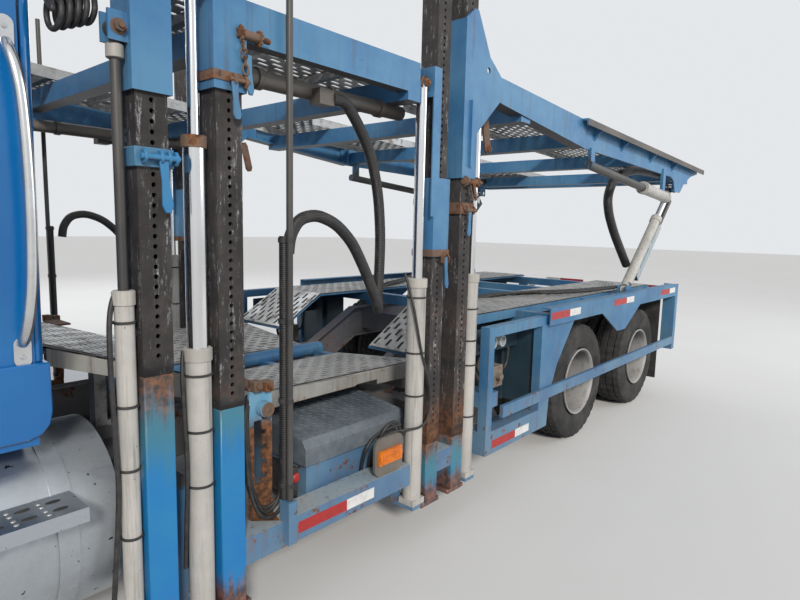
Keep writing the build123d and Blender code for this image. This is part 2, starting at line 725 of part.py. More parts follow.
with BuildPart() as knuckle_left:
    for z0 in (beam_top_z + knuckle_gap, beam_bottom_z - knuckle_gap - knuckle_lug_height):
        bar(front_axle_x - 45, front_axle_x + 45, -knuckle_web_y1, -kingpin_y, z0, z0 + knuckle_lug_height)
        upright_rod(front_axle_x, -kingpin_y, z0, z0 + knuckle_lug_height, 45)
    bar(front_axle_x - 45, front_axle_x + 45, -knuckle_web_y1, -knuckle_web_y0,
        beam_bottom_z - knuckle_gap - knuckle_lug_height, axle_z + 60)
    upright_rod(front_axle_x, -kingpin_y, beam_bottom_z - knuckle_gap - knuckle_lug_height,
                beam_top_z + knuckle_gap + knuckle_lug_height, kingpin_radius)
    cross_rod(front_axle_x, axle_z, front_disc_y - 40, -knuckle_web_y0, spindle_radius)
    bar(front_axle_x + 40, front_axle_x + 200, -knuckle_web_y1, -knuckle_web_y0,
        beam_bottom_z - knuckle_gap - knuckle_lug_height, beam_bottom_z - knuckle_gap)
finish(knuckle_left, "knuckle_left")

with BuildPart() as knuckle_right:
    mirror(knuckle_left.part, about=Plane.XZ)
finish(knuckle_right, "knuckle_right")

# Driven axles: housings, differentials, brake drums, air springs and the shaft
housing_radius = 72.0
differential_radius = 190.0
differential_half_width = 150.0
brake_radius = 200.0
brake_outer_y = 690.0
brake_inner_y = 560.0
air_spring_radius = 115.0
shaft_radius = 50.0
shaft_z = 470.0
kick_bottom_z = frame_kick_top_z - rail_depth

with BuildPart() as drive_axles:
    for _, x in axle_names:
        cross_rod(x, axle_z, -brake_outer_y, brake_outer_y, housing_radius)
        cross_rod(x, axle_z, hub_outer_y + 20, -hub_outer_y - 20, spindle_radius)
        with Locations((x, 0, axle_z)):
            Cylinder(differential_radius, 2 * differential_half_width, rotation=(90, 0, 0))
        for side in (-1, 1):
            y0 = side * brake_inner_y
            y1 = side * brake_outer_y
            cross_rod(x, axle_z, min(y0, y1), max(y0, y1), brake_radius)
            bar(x - 60, x + 60, side * spring_y - 45, side * spring_y + 45, axle_z, axle_z + 130)
            upright_rod(x, side * spring_y, axle_z + 120, kick_bottom_z, air_spring_radius)
    long_rod(gearbox_rear_x + seat_gap, drive_axle_x + tandem_spacing, 0, shaft_z, shaft_radius)
finish(drive_axles, "drive_axles")

# Fuel tanks under the cab, each with straps, brackets and a step
tank_radius = 320.0
tank_y = 850.0
tank_front_x = bumper_x + 1960
tank_rear_x = post_1_x - 93
tank_z = 620.0
strap_width = 60.0
strap_height = 6.0
tank_strap_xs = [tank_front_x + 170, tank_rear_x - 170]
step_front_x = tank_front_x + 150
step_rear_x = tank_rear_x - 150
step_inner_y = tank_y + 280
step_outer_y = 1285.0
step_top_z = 800.0
step_depth = 45.0

with BuildPart() as fuel_tanks:
    for side in (-1, 1):
        long_rod(tank_front_x, tank_rear_x, side * tank_y, tank_z, tank_radius)
        for x in tank_strap_xs:
            long_rod(x - strap_width / 2, x + strap_width / 2, side * tank_y, tank_z, tank_radius + strap_height)
            y0 = side * frame_half_width
            y1 = side * (tank_y - tank_radius + 60)
            bar(x - strap_width / 2, x + strap_width / 2, min(y0, y1), max(y0, y1),
                frame_bottom_z + 20, frame_top_z - 20)
        y0 = side * step_inner_y
        y1 = side * step_outer_y
        bar(step_front_x, step_rear_x, min(y0, y1), max(y0, y1), step_top_z - step_depth, step_top_z)
finish(fuel_tanks, "fuel_tanks")

# Perforated posts, four a side, each a square tube on a foot plate
post_size = 102.0
post_wall = 9.0
post_half = post_size / 2
post_y = post_outer_y - post_half
post_inner_y = post_outer_y - post_size
pin_hole_radius = 8.5
pin_hole_sides = 6
pin_hole_pitch = 64.0
foot_length = 150.0
foot_thickness = 25.0
lock_collar_height = 60.0
lock_collar_wall = 12.0
# Each post's first pin hole above the ground, and the feet of the lock collars
post_table = [(post_1_x, 1230.0), (post_2_x, 1050.0), (post_3_x, 640.0), (post_4_x, 640.0)]
collar_table = [(post_1_x, 1810.0), (post_4_x, 1720.0)]


def post(x, first_hole_z):
    """One left post with its pin holes."""
    bar(x - post_half, x + post_half, -post_outer_y, -post_inner_y, post_foot_z, post_top_z)
    bar(x - post_half + post_wall, x + post_half - post_wall, -post_outer_y + post_wall,
        -post_inner_y - post_wall, post_foot_z - 1, post_top_z + 1, mode=Mode.SUBTRACT)
    bar(x - foot_length / 2, x + foot_length / 2, -post_outer_y, -post_inner_y + 20,
        post_foot_z - foot_thickness, post_foot_z)
    hole_count = int((post_top_z - 60 - first_hole_z) / pin_hole_pitch) + 1
    with BuildSketch(Plane.XZ.offset(post_outer_y)) as holes:
        for index in range(hole_count):
            with Locations((x, first_hole_z + index * pin_hole_pitch)):
                RegularPolygon(pin_hole_radius, pin_hole_sides)
    extrude(holes.sketch, amount=-post_wall, mode=Mode.SUBTRACT)


def lock_collar(x, z):
    """The collar that is pinned round one left post."""
    half = post_half + lock_collar_wall
    bar(x - half, x + half, -post_outer_y - lock_collar_wall, -post_inner_y + lock_collar_wall,
        z, z + lock_collar_height)
    bar(x - post_half + post_wall, x + post_half - post_wall, -post_outer_y + post_wall,
        -post_inner_y - post_wall, z - 1, z + lock_collar_height + 1, mode=Mode.SUBTRACT)


with BuildPart() as lift_posts:
    for x, first_hole_z in post_table:
        post(x, first_hole_z)
    for x, z in collar_table:
        lock_collar(x, z)
    mirror(about=Plane.XZ)
finish(lift_posts, "lift_posts")

# Lift cylinders beside the posts: place, barrel and rod
cylinder_y = 1215.0
cylinder_foot_z = 250.0
# Station, barrel radius, barrel top, stage radius, stage top, rod radius
cylinder_a = (post_1_x - 90, 30.0, 1430.0, 0.0, 0.0, 16.0)
cylinder_b = (post_2_x - 114, 44.0, 1215.0, 36.0, 1930.0, 19.0)
cylinder_c = (post_3_x - 120, 47.0, 1395.0, 0.0, 0.0, 27.0)
cylinder_d = (post_4_x + 125, 44.0, 1395.0, 0.0, 0.0, 20.0)
cylinder_bore_gap = 0.3
cylinder_shoe_height = 30.0
rod_foot_z = 760.0
bore_foot_z = cylinder_foot_z + 30


def barrel(row):
    """One left barrel, with its fixed stage where it has one, bored for the rod."""
    x, barrel_radius, barrel_top, stage_radius, stage_top, rod_radius = row
    upright_rod(x, -cylinder_y, cylinder_foot_z, barrel_top, barrel_radius)
    top_z = barrel_top
    if stage_radius:
        upright_rod(x, -cylinder_y, barrel_top, stage_top, stage_radius)
        upright_rod(x, -cylinder_y, stage_top - 40, stage_top, stage_radius + 6)
        top_z = stage_top
    bar(x - barrel_radius, x + barrel_radius, -cylinder_y - barrel_radius, -cylinder_y + barrel_radius,
        cylinder_foot_z - cylinder_shoe_height, cylinder_foot_z)
    upright_rod(x, -cylinder_y, bore_foot_z, top_z + 1, rod_radius + cylinder_bore_gap, mode=Mode.SUBTRACT)


with BuildPart() as lift_barrels:
    for row in (cylinder_a, cylinder_b, cylinder_c, cylinder_d):
        barrel(row)
    mirror(about=Plane.XZ)
finish(lift_barrels, "lift_barrels")

# Side frames low down on each side: sills, brackets and the open box frame
sill_bottom_z = 340.0
sill_top_z = 450.0
sill_outer_y = 1246.0
sill_inner_y = 1130.0
box_frame_rear_x = rail_front_x
box_frame_outer_y = 1270.0
box_frame_inner_y = 1210.0
box_frame_bottom_z = 300.0
box_frame_top_z = 1076.0
box_member = 60.0
box_sill_height = 140.0
outrigger_top_z = frame_top_z - 60
brace_rod_x = bumper_x + 3730
brace_rod_radius = 13.0
brace_rod_y = 1262.0
brace_rod_top_z = 2900.0
marker_x = bumper_x + 4355
marker_half_length = 80.0
marker_top_z = 640.0
marker_arch_radius = 45.0
rail_bottom_z = rail_top_z - 120
fender_plate_rear_x = bumper_x + 6330
# Notched rack for the tie-down ratchets, behind the second post
rack_x0 = bumper_x + 3625
rack_x1 = bumper_x + 3735
rack_bottom_z = 500.0
rack_top_z = 990.0
rack_y = 1140.0
rack_thickness = 12.0
rack_notches = 5
rack_notch_pitch = 62.0
rack_notch_height = 22.0
rack_corner = 30.0

with BuildPart() as side_frames:
    sill_spans = [
        (post_2_x + post_half, cylinder_c[0] - cylinder_c[1] - 8),
        (post_3_x + post_half, post_4_x - post_half),
    ]
    for x0, x1 in sill_spans:
        bar(x0, x1, -sill_outer_y, -sill_inner_y, sill_bottom_z, sill_top_z)
    for x0, x1 in ((post_1_x, post_2_x), (post_3_x, post_4_x)):
        bar(x0 - post_half, x1 + post_half, -post_inner_y, -post_inner_y + 30,
            sill_bottom_z - 60, outrigger_top_z)
    bar(post_2_x, post_3_x, -post_inner_y, -post_inner_y + 30, sill_bottom_z, sill_top_z)
    for row in (cylinder_a, cylinder_b, cylinder_c, cylinder_d):
        x, barrel_radius = row[0], row[1]
        bar(x - barrel_radius, x + barrel_radius, -cylinder_y - barrel_radius, -post_inner_y + 30,
            post_foot_z, cylinder_foot_z - cylinder_shoe_height)
    for first, last in ((cylinder_a, cylinder_b), (cylinder_c, cylinder_d)):
        bar(first[0] - first[1], last[0] + last[1], -post_inner_y, -post_inner_y + 30, post_foot_z, sill_bottom_z)
    # Box frame
    bar(box_frame_front_x, box_frame_front_x + box_member, -box_frame_outer_y, -box_frame_inner_y,
        box_frame_bottom_z, box_frame_top_z)
    bar(box_frame_rear_x - box_member, box_frame_rear_x, -box_frame_outer_y, -box_frame_inner_y,
        box_frame_bottom_z, box_frame_top_z)
    bar(box_frame_front_x, box_frame_rear_x, -box_frame_outer_y, -box_frame_inner_y,
        box_frame_top_z - box_member, box_frame_top_z)
    bar(box_frame_front_x, box_frame_rear_x, -box_frame_outer_y, -sill_inner_y,
        box_frame_bottom_z, box_frame_bottom_z + box_sill_height)
    bar(post_4_x + post_half, box_frame_front_x + box_member, -post_inner_y - 12, -post_inner_y + 30,
        sill_bottom_z, sill_top_z)
    bar(box_frame_front_x, box_frame_front_x + outrigger_length, -box_frame_outer_y, -outrigger_outer_y,
        outrigger_top_z - outrigger_depth, outrigger_top_z)
    side_plate(
        [
            (box_frame_rear_x - box_member, rail_bottom_z),
            (fender_plate_rear_x, rail_bottom_z),
            (box_frame_rear_x + 190, box_frame_bottom_z + 420),
            (box_frame_rear_x + 90, box_frame_bottom_z + 220),
            (box_frame_rear_x + 70, box_frame_bottom_z),
            (box_frame_rear_x - box_member, box_frame_bottom_z),
        ],
        -box_frame_outer_y, -box_frame_outer_y + 10,
    )
    # Brace rod in its socket, and the marker lamp's bracket
    bar(brace_rod_x - 22, brace_rod_x + 22, -brace_rod_y - 22, -sill_outer_y + 20, sill_bottom_z + 20,
        sill_top_z + 90)
    upright_rod(brace_rod_x, -brace_rod_y, sill_top_z, brace_rod_top_z, brace_rod_radius)
    with BuildSketch(Plane.XZ.offset(sill_outer_y - 6)) as lamp_bracket:
        with Locations((marker_x, (sill_top_z + marker_top_z) / 2)):
            Rectangle(2 * marker_half_length + 40, marker_top_z - sill_top_z)
        fillet(lamp_bracket.vertices().group_by(Axis.Z)[-1], marker_arch_radius)
    extrude(lamp_bracket.sketch, amount=-14)
    # Rack plate, its slot with the notches, the eye bolt at its head, and its foot
    with BuildSketch(Plane.XZ.offset(rack_y)) as rack:
        with Locations(((rack_x0 + rack_x1) / 2, (rack_bottom_z + rack_top_z) / 2)):
            Rectangle(rack_x1 - rack_x0, rack_top_z - rack_bottom_z)
        fillet(rack.vertices().group_by(Axis.Z)[-1], rack_corner)
        slot_z0, slot_z1 = rack_bottom_z + 90, rack_top_z - 130
        with Locations((rack_x0 + 42, (slot_z0 + slot_z1) / 2)):
            Rectangle(40, slot_z1 - slot_z0, mode=Mode.SUBTRACT)
        for index in range(rack_notches):
            with Locations((rack_x0 + 72, slot_z0 + 30 + index * rack_notch_pitch)):
                Rectangle(24, rack_notch_height, mode=Mode.SUBTRACT)
    extrude(rack.sketch, amount=-rack_thickness)
    bar(rack_x0, rack_x1, -post_inner_y, -rack_y + rack_thickness, rack_bottom_z - 50, rack_bottom_z + 10)
    cross_rod(rack_x1 - 50, rack_top_z - 80, -rack_y - 40, -rack_y, 32)
    mirror(about=Plane.XZ)
finish(side_frames, "side_frames")

marker_lamp_depth = 14.0

with BuildPart() as marker_lamps:
    bar(marker_x - marker_half_length, marker_x + marker_half_length, -sill_outer_y + 6 - marker_lamp_depth,
        -sill_outer_y + 6, sill_top_z + 60, sill_top_z + 130)
    mirror(about=Plane.XZ)
finish(marker_lamps, "marker_lamps")

# Battery box on the left and oil tank on the right, between the middle posts
battery_x0 = bumper_x + 3960
battery_x1 = bumper_x + 4590
battery_outer_y = 1090.0
battery_inner_y = 560.0
battery_bottom_z = 400.0
battery_top_z = 640.0
lid_front_y = battery_outer_y + 22
lid_x0 = battery_x0 - 22
lid_x1 = battery_x1 + 22
lid_sheet = 10.0
lid_bottom_z = battery_top_z - 70
lid_front_top_z = 648.0
lid_bend_y = lid_front_y - 26
lid_bend_z = 686.0
lid_back_z = 752.0
lid_hinge_y = battery_inner_y + 12
lid_hinge_z = battery_top_z + 18
lid_hinge_xs = [battery_x0 + 80, battery_x1 - 80]
lid_ear_half = 10.0
lid_lug_thickness = 8.0
lid_pin_radius = 7.0


def lid_profile(inset, foot_z, back_y):
    """Cross-section of the lid, seen along the truck, drawn in by the sheet."""
    return [
        (-lid_front_y + inset, foot_z),
        (-lid_front_y + inset, lid_front_top_z - inset / 2),
        (-lid_bend_y + inset / 2, lid_bend_z - inset),
        (-back_y, lid_back_z - inset),
        (-back_y, foot_z),
    ]


with BuildPart() as battery_box:
    bar(battery_x0, battery_x1, -battery_outer_y, -battery_inner_y, battery_bottom_z, battery_top_z)
    bar(battery_x0, battery_x1, -battery_inner_y, -frame_half_width, battery_bottom_z + 110, battery_top_z - 60)
    for x in lid_hinge_xs:
        bar(x - lid_ear_half, x + lid_ear_half, -lid_hinge_y - 14, -lid_hinge_y + 12, battery_top_z - 1,
            lid_hinge_z + 14)
    long_rod(battery_x0, battery_x1, -lid_hinge_y, lid_hinge_z, lid_pin_radius + seat_gap, mode=Mode.SUBTRACT)
finish(battery_box, "battery_box")

with BuildPart() as battery_lid:
    for x0, x1, profile, mode in (
        (lid_x0, lid_x1, lid_profile(0, lid_bottom_z, battery_inner_y), Mode.ADD),
        (lid_x0 + lid_sheet, lid_x1 - lid_sheet,
         lid_profile(lid_sheet, lid_bottom_z - 1, battery_inner_y - 1), Mode.SUBTRACT),
    ):
        with BuildSketch(Plane(origin=(x0, 0, 0), x_dir=(0, 1, 0), z_dir=(1, 0, 0))) as section:
            with BuildLine():
                Polyline(*profile, close=True)
            make_face()
        extrude(section.sketch, amount=x1 - x0, mode=mode)
    for x in lid_hinge_xs:
        for side in (-1, 1):
            lug_x = x + side * (lid_ear_half + running_clearance / 2 + lid_lug_thickness / 2)
            bar(lug_x - lid_lug_thickness / 2, lug_x + lid_lug_thickness / 2, -lid_hinge_y - 10,
                -lid_hinge_y + 10, lid_hinge_z - 10, lid_back_z - lid_sheet)
        pin_reach = lid_ear_half + running_clearance / 2 + lid_lug_thickness
        long_rod(x - pin_reach, x + pin_reach, -lid_hinge_y, lid_hinge_z, lid_pin_radius)
finish(battery_lid, "battery_lid")

with BuildPart() as oil_tank:
    bar(battery_x0, battery_x1, battery_inner_y, battery_outer_y, battery_bottom_z, battery_top_z)
    bar(battery_x0, battery_x1, frame_half_width, battery_inner_y, battery_bottom_z + 110, battery_top_z - 30)
    fillet(oil_tank.edges().filter_by(Axis.X).sort_by(Axis.Y)[-2:], 40)
    upright_rod(battery_x0 + 130, battery_outer_y - 140, battery_top_z, battery_top_z + 40, 45)
finish(oil_tank, "oil_tank")

# Lower front deck: a pair of runways that rise towards the cab, and a centre tube
runway_inner_y = 190.0
runway_outer_y = 900.0
runway_thickness = 14.0
runway_lip = 60.0
# Station, height of the outer edge, height of the inner edge
front_deck_sections = [
    (bumper_x + 2995, 1215.0, 1140.0),
    (bumper_x + 3915, 885.0, 800.0),
    (bumper_x + 4990, 855.0, 785.0),
]
centre_tube_radius = 45.0
centre_tube_z = 795.0
deck_support_xs = [bumper_x + 3350, bumper_x + 3920, bumper_x + 4500, bumper_x + 4950]
deck_support_length = 50.0

with BuildPart() as lower_front_deck:
    for (xa, outer_a, inner_a), (xb, outer_b, inner_b) in zip(front_deck_sections, front_deck_sections[1:]):
        sections = []
        for x, outer_z, inner_z in ((xa, outer_a, inner_a), (xb, outer_b, inner_b)):
            with BuildSketch(Plane(origin=(x, 0, 0), x_dir=(0, 1, 0), z_dir=(1, 0, 0))) as section:
                with BuildLine():
                    Polyline(
                        (-runway_outer_y, outer_z), (-runway_inner_y, inner_z),
                        (-runway_inner_y, inner_z - runway_thickness),
                        (-runway_outer_y + runway_thickness, outer_z - runway_thickness),
                        (-runway_outer_y + runway_thickness, outer_z - runway_lip),
                        (-runway_outer_y, outer_z - runway_lip), close=True,
                    )
                make_face()
            sections.append(section.sketch)
        loft(sections, ruled=True)
    mirror(about=Plane.XZ)
    long_rod(front_deck_sections[1][0] - 350, front_deck_sections[2][0], 0, centre_tube_z, centre_tube_radius)
    for x in deck_support_xs[1:]:
        bar(x - deck_support_length / 2, x + deck_support_length / 2, -frame_half_width, frame_half_width,
            frame_top_z, centre_tube_z - 10)
    for side in (-1, 1):
        x = deck_support_xs[0]
        y = side * (frame_half_width - rail_flange / 2)
        bar(x - deck_support_length / 2, x + deck_support_length / 2, y - 30, y + 30, frame_top_z, 1050)
finish(lower_front_deck, "lower_front_deck")

# Lower rear deck over the driven axles, with its side rails and gussets
rear_runway_inner_y = 450.0
rear_runway_outer_y = 1020.0
rear_runway_top_z = 1100.0
rear_deck_front_x = bumper_x + 5400
rear_ramp_front_x = bumper_x + 5020
rear_ramp_front_z = 870.0
rail_inner_y = side_half_width - 70
rail_wall = 8.0
gusset_top_half = 428.0
gusset_foot_half = 88.0
gusset_bottom_z = 830.0
gusset_thickness = 12.0
arm_base_x = bumper_x + 7615
arm_base_z = 1130.0
arm_y = 1150.0
arm_pin_radius = 15.0
arm_plate_thickness = 12.0
arm_eye_half_width = 24.0
cross_bearer_xs = [rail_front_x + 60, drive_axle_x + 330, arm_base_x, rail_rear_x - 120]
cross_bearer_length = 80.0
rear_post_x = bumper_x + 8765
rear_post_bottom_z = 450.0
guard_front_x = bumper_x + 5325
guard_bottom_z = 510.0
guard_top_z = 585.0
guard_thickness = 24.0

with BuildPart() as lower_rear_deck:
    side_plate(
        [
            (rear_ramp_front_x, rear_ramp_front_z),
            (rear_deck_front_x, rear_runway_top_z),
            (rail_rear_x, rear_runway_top_z),
            (rail_rear_x, rear_runway_top_z - runway_thickness),
            (rear_deck_front_x, rear_runway_top_z - runway_thickness),
            (rear_ramp_front_x, rear_ramp_front_z - runway_thickness),
        ],
        -rear_runway_outer_y, -rear_runway_inner_y,
    )
    bar(rear_deck_front_x, rail_rear_x, -rear_runway_outer_y, -rear_runway_outer_y + runway_thickness,
        rear_runway_top_z - runway_lip, rear_runway_top_z)
    bar(rail_front_x, rail_rear_x, -side_half_width, -rail_inner_y, rail_bottom_z, rail_top_z)
    bar(rail_front_x - 1, rail_rear_x + 1, -side_half_width + rail_wall, -rail_inner_y + 1,
        rail_bottom_z + rail_wall, rail_top_z - rail_wall, mode=Mode.SUBTRACT)
    gusset_x = drive_axle_x + tandem_spacing / 2 - 140
    side_plate(
        [
            (gusset_x - gusset_top_half, rail_bottom_z),
            (gusset_x + gusset_top_half, rail_bottom_z),
            (gusset_x + gusset_foot_half, gusset_bottom_z),
            (gusset_x - gusset_foot_half, gusset_bottom_z),
        ],
        -side_half_width, -side_half_width + gusset_thickness,
    )
    for x in cross_bearer_xs:
        bar(x - cross_bearer_length / 2, x + cross_bearer_length / 2, -side_half_width + rail_wall, 0,
            frame_kick_top_z + 30, rear_runway_top_z - runway_thickness)
        bar(x - cross_bearer_length / 2, x + cross_bearer_length / 2, -frame_half_width,
            -frame_half_width + rail_flange, frame_kick_top_z, frame_kick_top_z + 30)
    for side in (-1, 1):
        y = -arm_y + side * (arm_eye_half_width + running_clearance + arm_plate_thickness / 2)
        bar(arm_base_x - 60, arm_base_x + 60, y - arm_plate_thickness / 2, y + arm_plate_thickness / 2,
            frame_kick_top_z + 50, arm_base_z + 40)
    pin_reach = arm_eye_half_width + running_clearance + arm_plate_thickness
    cross_rod(arm_base_x, arm_base_z, -arm_y - pin_reach, -arm_y + pin_reach, arm_pin_radius)
    bar(rear_post_x - 75, rear_post_x - 75 + 12, -side_half_width, -rail_inner_y + 50,
        rear_post_bottom_z, rail_top_z)
    bar(rear_post_x - 75, rear_post_x, -side_half_width, -side_half_width + 12, rear_post_bottom_z, rail_top_z)
    # Wheel guard rail, with its shelf on the box frame
    bar(guard_front_x, rear_post_x - 75, -side_half_width, -side_half_width + guard_thickness,
        guard_bottom_z, guard_top_z)
    bar(guard_front_x, box_frame_rear_x, -side_half_width, -box_frame_outer_y,
        guard_bottom_z, guard_bottom_z + 20)
    mirror(about=Plane.XZ)
finish(lower_rear_deck, "lower_rear_deck")

# Mudflaps
mudflap_x = drive_axle_x + tandem_spacing + axle_z + 90
mudflap_bottom_z = 150.0
mudflap_thickness = 10.0

with BuildPart() as mudflaps:
    bar(mudflap_x, mudflap_x + mudflap_thickness, -1190, -620, mudflap_bottom_z, frame_kick_top_z + 30)
    mirror(about=Plane.XZ)
finish(mudflaps, "mudflaps")

# Rear carriages: sleeves pinned on the last posts, with plates that carry the rear deck's pivots
carriage_half = 64.0
carriage_bottom_z = 1906.0
carriage_top_z = 2700.0
carriage_outer_y = post_y + carriage_half
carriage_inner_y = post_y - carriage_half
carriage_plate = 12.0
carriage_rib_depth = 14.0
pivot_x = bumper_x + 5150
pivot_z = 2420.0
pivot_pin_radius = 18.0
pivot_eye_radius = 42.0
rear_rod_top_z = 2400.0
upper_tube_radius = 28.0
upper_tube_bottom_z = 1915.0
carriage_outline = [
    (post_4_x - carriage_half, carriage_bottom_z),
    (post_4_x - carriage_half, carriage_top_z),
    (post_4_x + 5, carriage_top_z + 60),
    (post_4_x + 40, carriage_top_z + 60),
    (post_4_x + 165, 2555),
    (pivot_x + 40, pivot_z + 62),
    (pivot_x + 50, pivot_z - 70),
    (post_4_x + carriage_half, 2150),
    (post_4_x + carriage_half, carriage_bottom_z),
]

with BuildPart() as rear_carriages:
    side_plate(carriage_outline, -carriage_outer_y, -carriage_outer_y + carriage_plate)
    side_plate(carriage_outline, -carriage_inner_y - carriage_plate, -carriage_inner_y)
    bar(post_4_x - carriage_half, post_4_x + carriage_half, -carriage_outer_y, -carriage_inner_y,
        carriage_bottom_z, carriage_top_z)
    bar(post_4_x - post_half - seat_gap, post_4_x + post_half + seat_gap, -post_outer_y - seat_gap,
        -post_inner_y + seat_gap, carriage_bottom_z - 1, carriage_top_z + 100, mode=Mode.SUBTRACT)
    cross_rod(post_4_x + 154, carriage_top_z - 214, -carriage_outer_y - 1, -carriage_outer_y + 14, 16,
              mode=Mode.SUBTRACT)
    cross_rod(pivot_x, pivot_z, -carriage_outer_y, -carriage_inner_y, pivot_pin_radius)
    bar(post_4_x - 8, post_4_x + 8, -carriage_outer_y - carriage_rib_depth, -carriage_outer_y,
        carriage_bottom_z + 60, carriage_bottom_z + 400)
    mirror(about=Plane.XZ)
finish(rear_carriages, "rear_carriages")

with BuildPart() as rear_carriage_rods:
    x, rod_radius = cylinder_d[0], cylinder_d[5]
    upright_rod(x, -cylinder_y, rod_foot_z, rear_rod_top_z, rod_radius)
    upright_rod(x, -cylinder_y, upper_tube_bottom_z, rear_rod_top_z, upper_tube_radius)
    mirror(about=Plane.XZ)
finish(rear_carriage_rods, "rear_carriage_rods")

# Grab handles at the cab's rear corners
handle_x = cab_back_x - 70
handle_bottom_z = 1310.0
handle_top_z = 2150.0
handle_reach = 55.0
handle_radius = 14.0

with BuildPart() as grab_handles:
    y = -cab_half_width - handle_reach
    upright_rod(handle_x, y, handle_bottom_z, handle_top_z, handle_radius)
    for z in (handle_bottom_z + handle_radius, handle_top_z - handle_radius):
        cross_rod(handle_x, z, y, -cab_half_width - seat_gap, handle_radius)
    mirror(about=Plane.XZ)
finish(grab_handles, "grab_handles")


def sleeve(x, z0, z1):
    """One left sleeve that slides on a post."""
    bar(x - carriage_half, x + carriage_half, -carriage_outer_y, -carriage_inner_y, z0, z1)
    bar(x - post_half - running_clearance, x + post_half + running_clearance,
        -post_outer_y - running_clearance, -post_inner_y + running_clearance, z0 - 1, z1 + 1,
        mode=Mode.SUBTRACT)


def runway(x0, z0, x1, z1, y0, y1):
    """One runway plate with a lip down each edge, rising or falling along the truck."""
    side_plate([(x0, z0), (x1, z1), (x1, z1 - runway_thickness), (x0, z0 - runway_thickness)], y0, y1)
    for y in (y0, y1 - runway_thickness):
        side_plate([(x0, z0), (x1, z1), (x1, z1 - runway_lip), (x0, z0 - runway_lip)],
                   y, y + runway_thickness)


# Head deck over the cab, sliding on the first posts
head_sleeve_bottom_z = 2035.0
head_beam_depth = 140.0
head_beam_front_x = bumper_x + 760
beam_y0 = 1235.0
beam_y1 = 1175.0
head_runway_y0 = 450.0
head_runway_y1 = 1050.0
head_cross_xs = [head_beam_front_x + 60, head_beam_front_x + 1150, post_1_x - 300]
head_cross_length = 90.0
head_cross_bottom_z = 2570.0
head_runway_z = head_beam_top_z - 20
rod_eye_z = 2206.0
rod_eye_radius = 30.0
rod_eye_half_width = 20.0

with BuildPart() as head_deck:
    sleeve(post_1_x, head_sleeve_bottom_z, head_beam_top_z)
    bar(head_beam_front_x, post_1_x - carriage_half, -beam_y0, -beam_y1, head_beam_top_z - head_beam_depth,
        head_beam_top_z)
    for x in head_cross_xs:
        bar(x - head_cross_length / 2, x + head_cross_length / 2, -beam_y0, 0, head_cross_bottom_z,
            head_runway_z - runway_lip)
    for side in (-1, 1):
        y = -cylinder_y + side * (rod_eye_half_width + seat_gap + 5)
        bar(cylinder_a[0] - rod_eye_radius, post_1_x - carriage_half, y - 5, y + 5, rod_eye_z - 40, rod_eye_z + 45)
    mirror(about=Plane.XZ)
finish(head_deck, "head_deck")

with BuildPart() as head_runways:
    runway(head_beam_front_x, head_runway_z, post_1_x - 120, head_runway_z, -head_runway_y1, -head_runway_y0)
    mirror(about=Plane.XZ)
finish(head_runways, "head_runways")

with BuildPart() as head_deck_rods:
    x, rod_radius = cylinder_a[0], cylinder_a[5]
    upright_rod(x, -cylinder_y, rod_foot_z, rod_eye_z, rod_radius)
    cross_rod(x, rod_eye_z, -cylinder_y - rod_eye_half_width, -cylinder_y + rod_eye_half_width,
              rod_eye_radius - 4)
    mirror(about=Plane.XZ)
finish(head_deck_rods, "head_deck_rods")

# Mid deck on the second and third posts
mid_sleeve_bottom_z = 2090.0
mid_sleeve_top_z = 2500.0
mid_carriage_bottom_z = 1500.0
mid_carriage_top_z = 1890.0
mid_beam_depth = 140.0
mid_eye_z = 2330.0
mid_bracket_z = 2390.0
mid_bracket_height = 60.0
mid_eye_radius = 32.0
mid_runway_x0 = bumper_x + 3385
mid_runway_x1 = bumper_x + 4930
mid_runway_z0 = 2470.0
mid_runway_z1 = 2370.0
mid_runway_y0 = 550.0
mid_runway_y1 = 1100.0
mid_cross_xs = [post_2_x + 130, post_3_x - 200]
mid_cross_length = 90.0
mid_cross_depth = 100.0
pipe_radius = 35.0
pipe_y = 1050.0
pipe_z = 2210.0
pipe_x0 = post_2_x + 80
pipe_x1 = post_3_x - 90
valve_x = bumper_x + 4030
tie_plate = 12.0


def mid_runway_z(x):
    """Height of the mid runways at a station."""
    slope = (mid_runway_z1 - mid_runway_z0) / (mid_runway_x1 - mid_runway_x0)
    return mid_runway_z0 + slope * (x - mid_runway_x0)


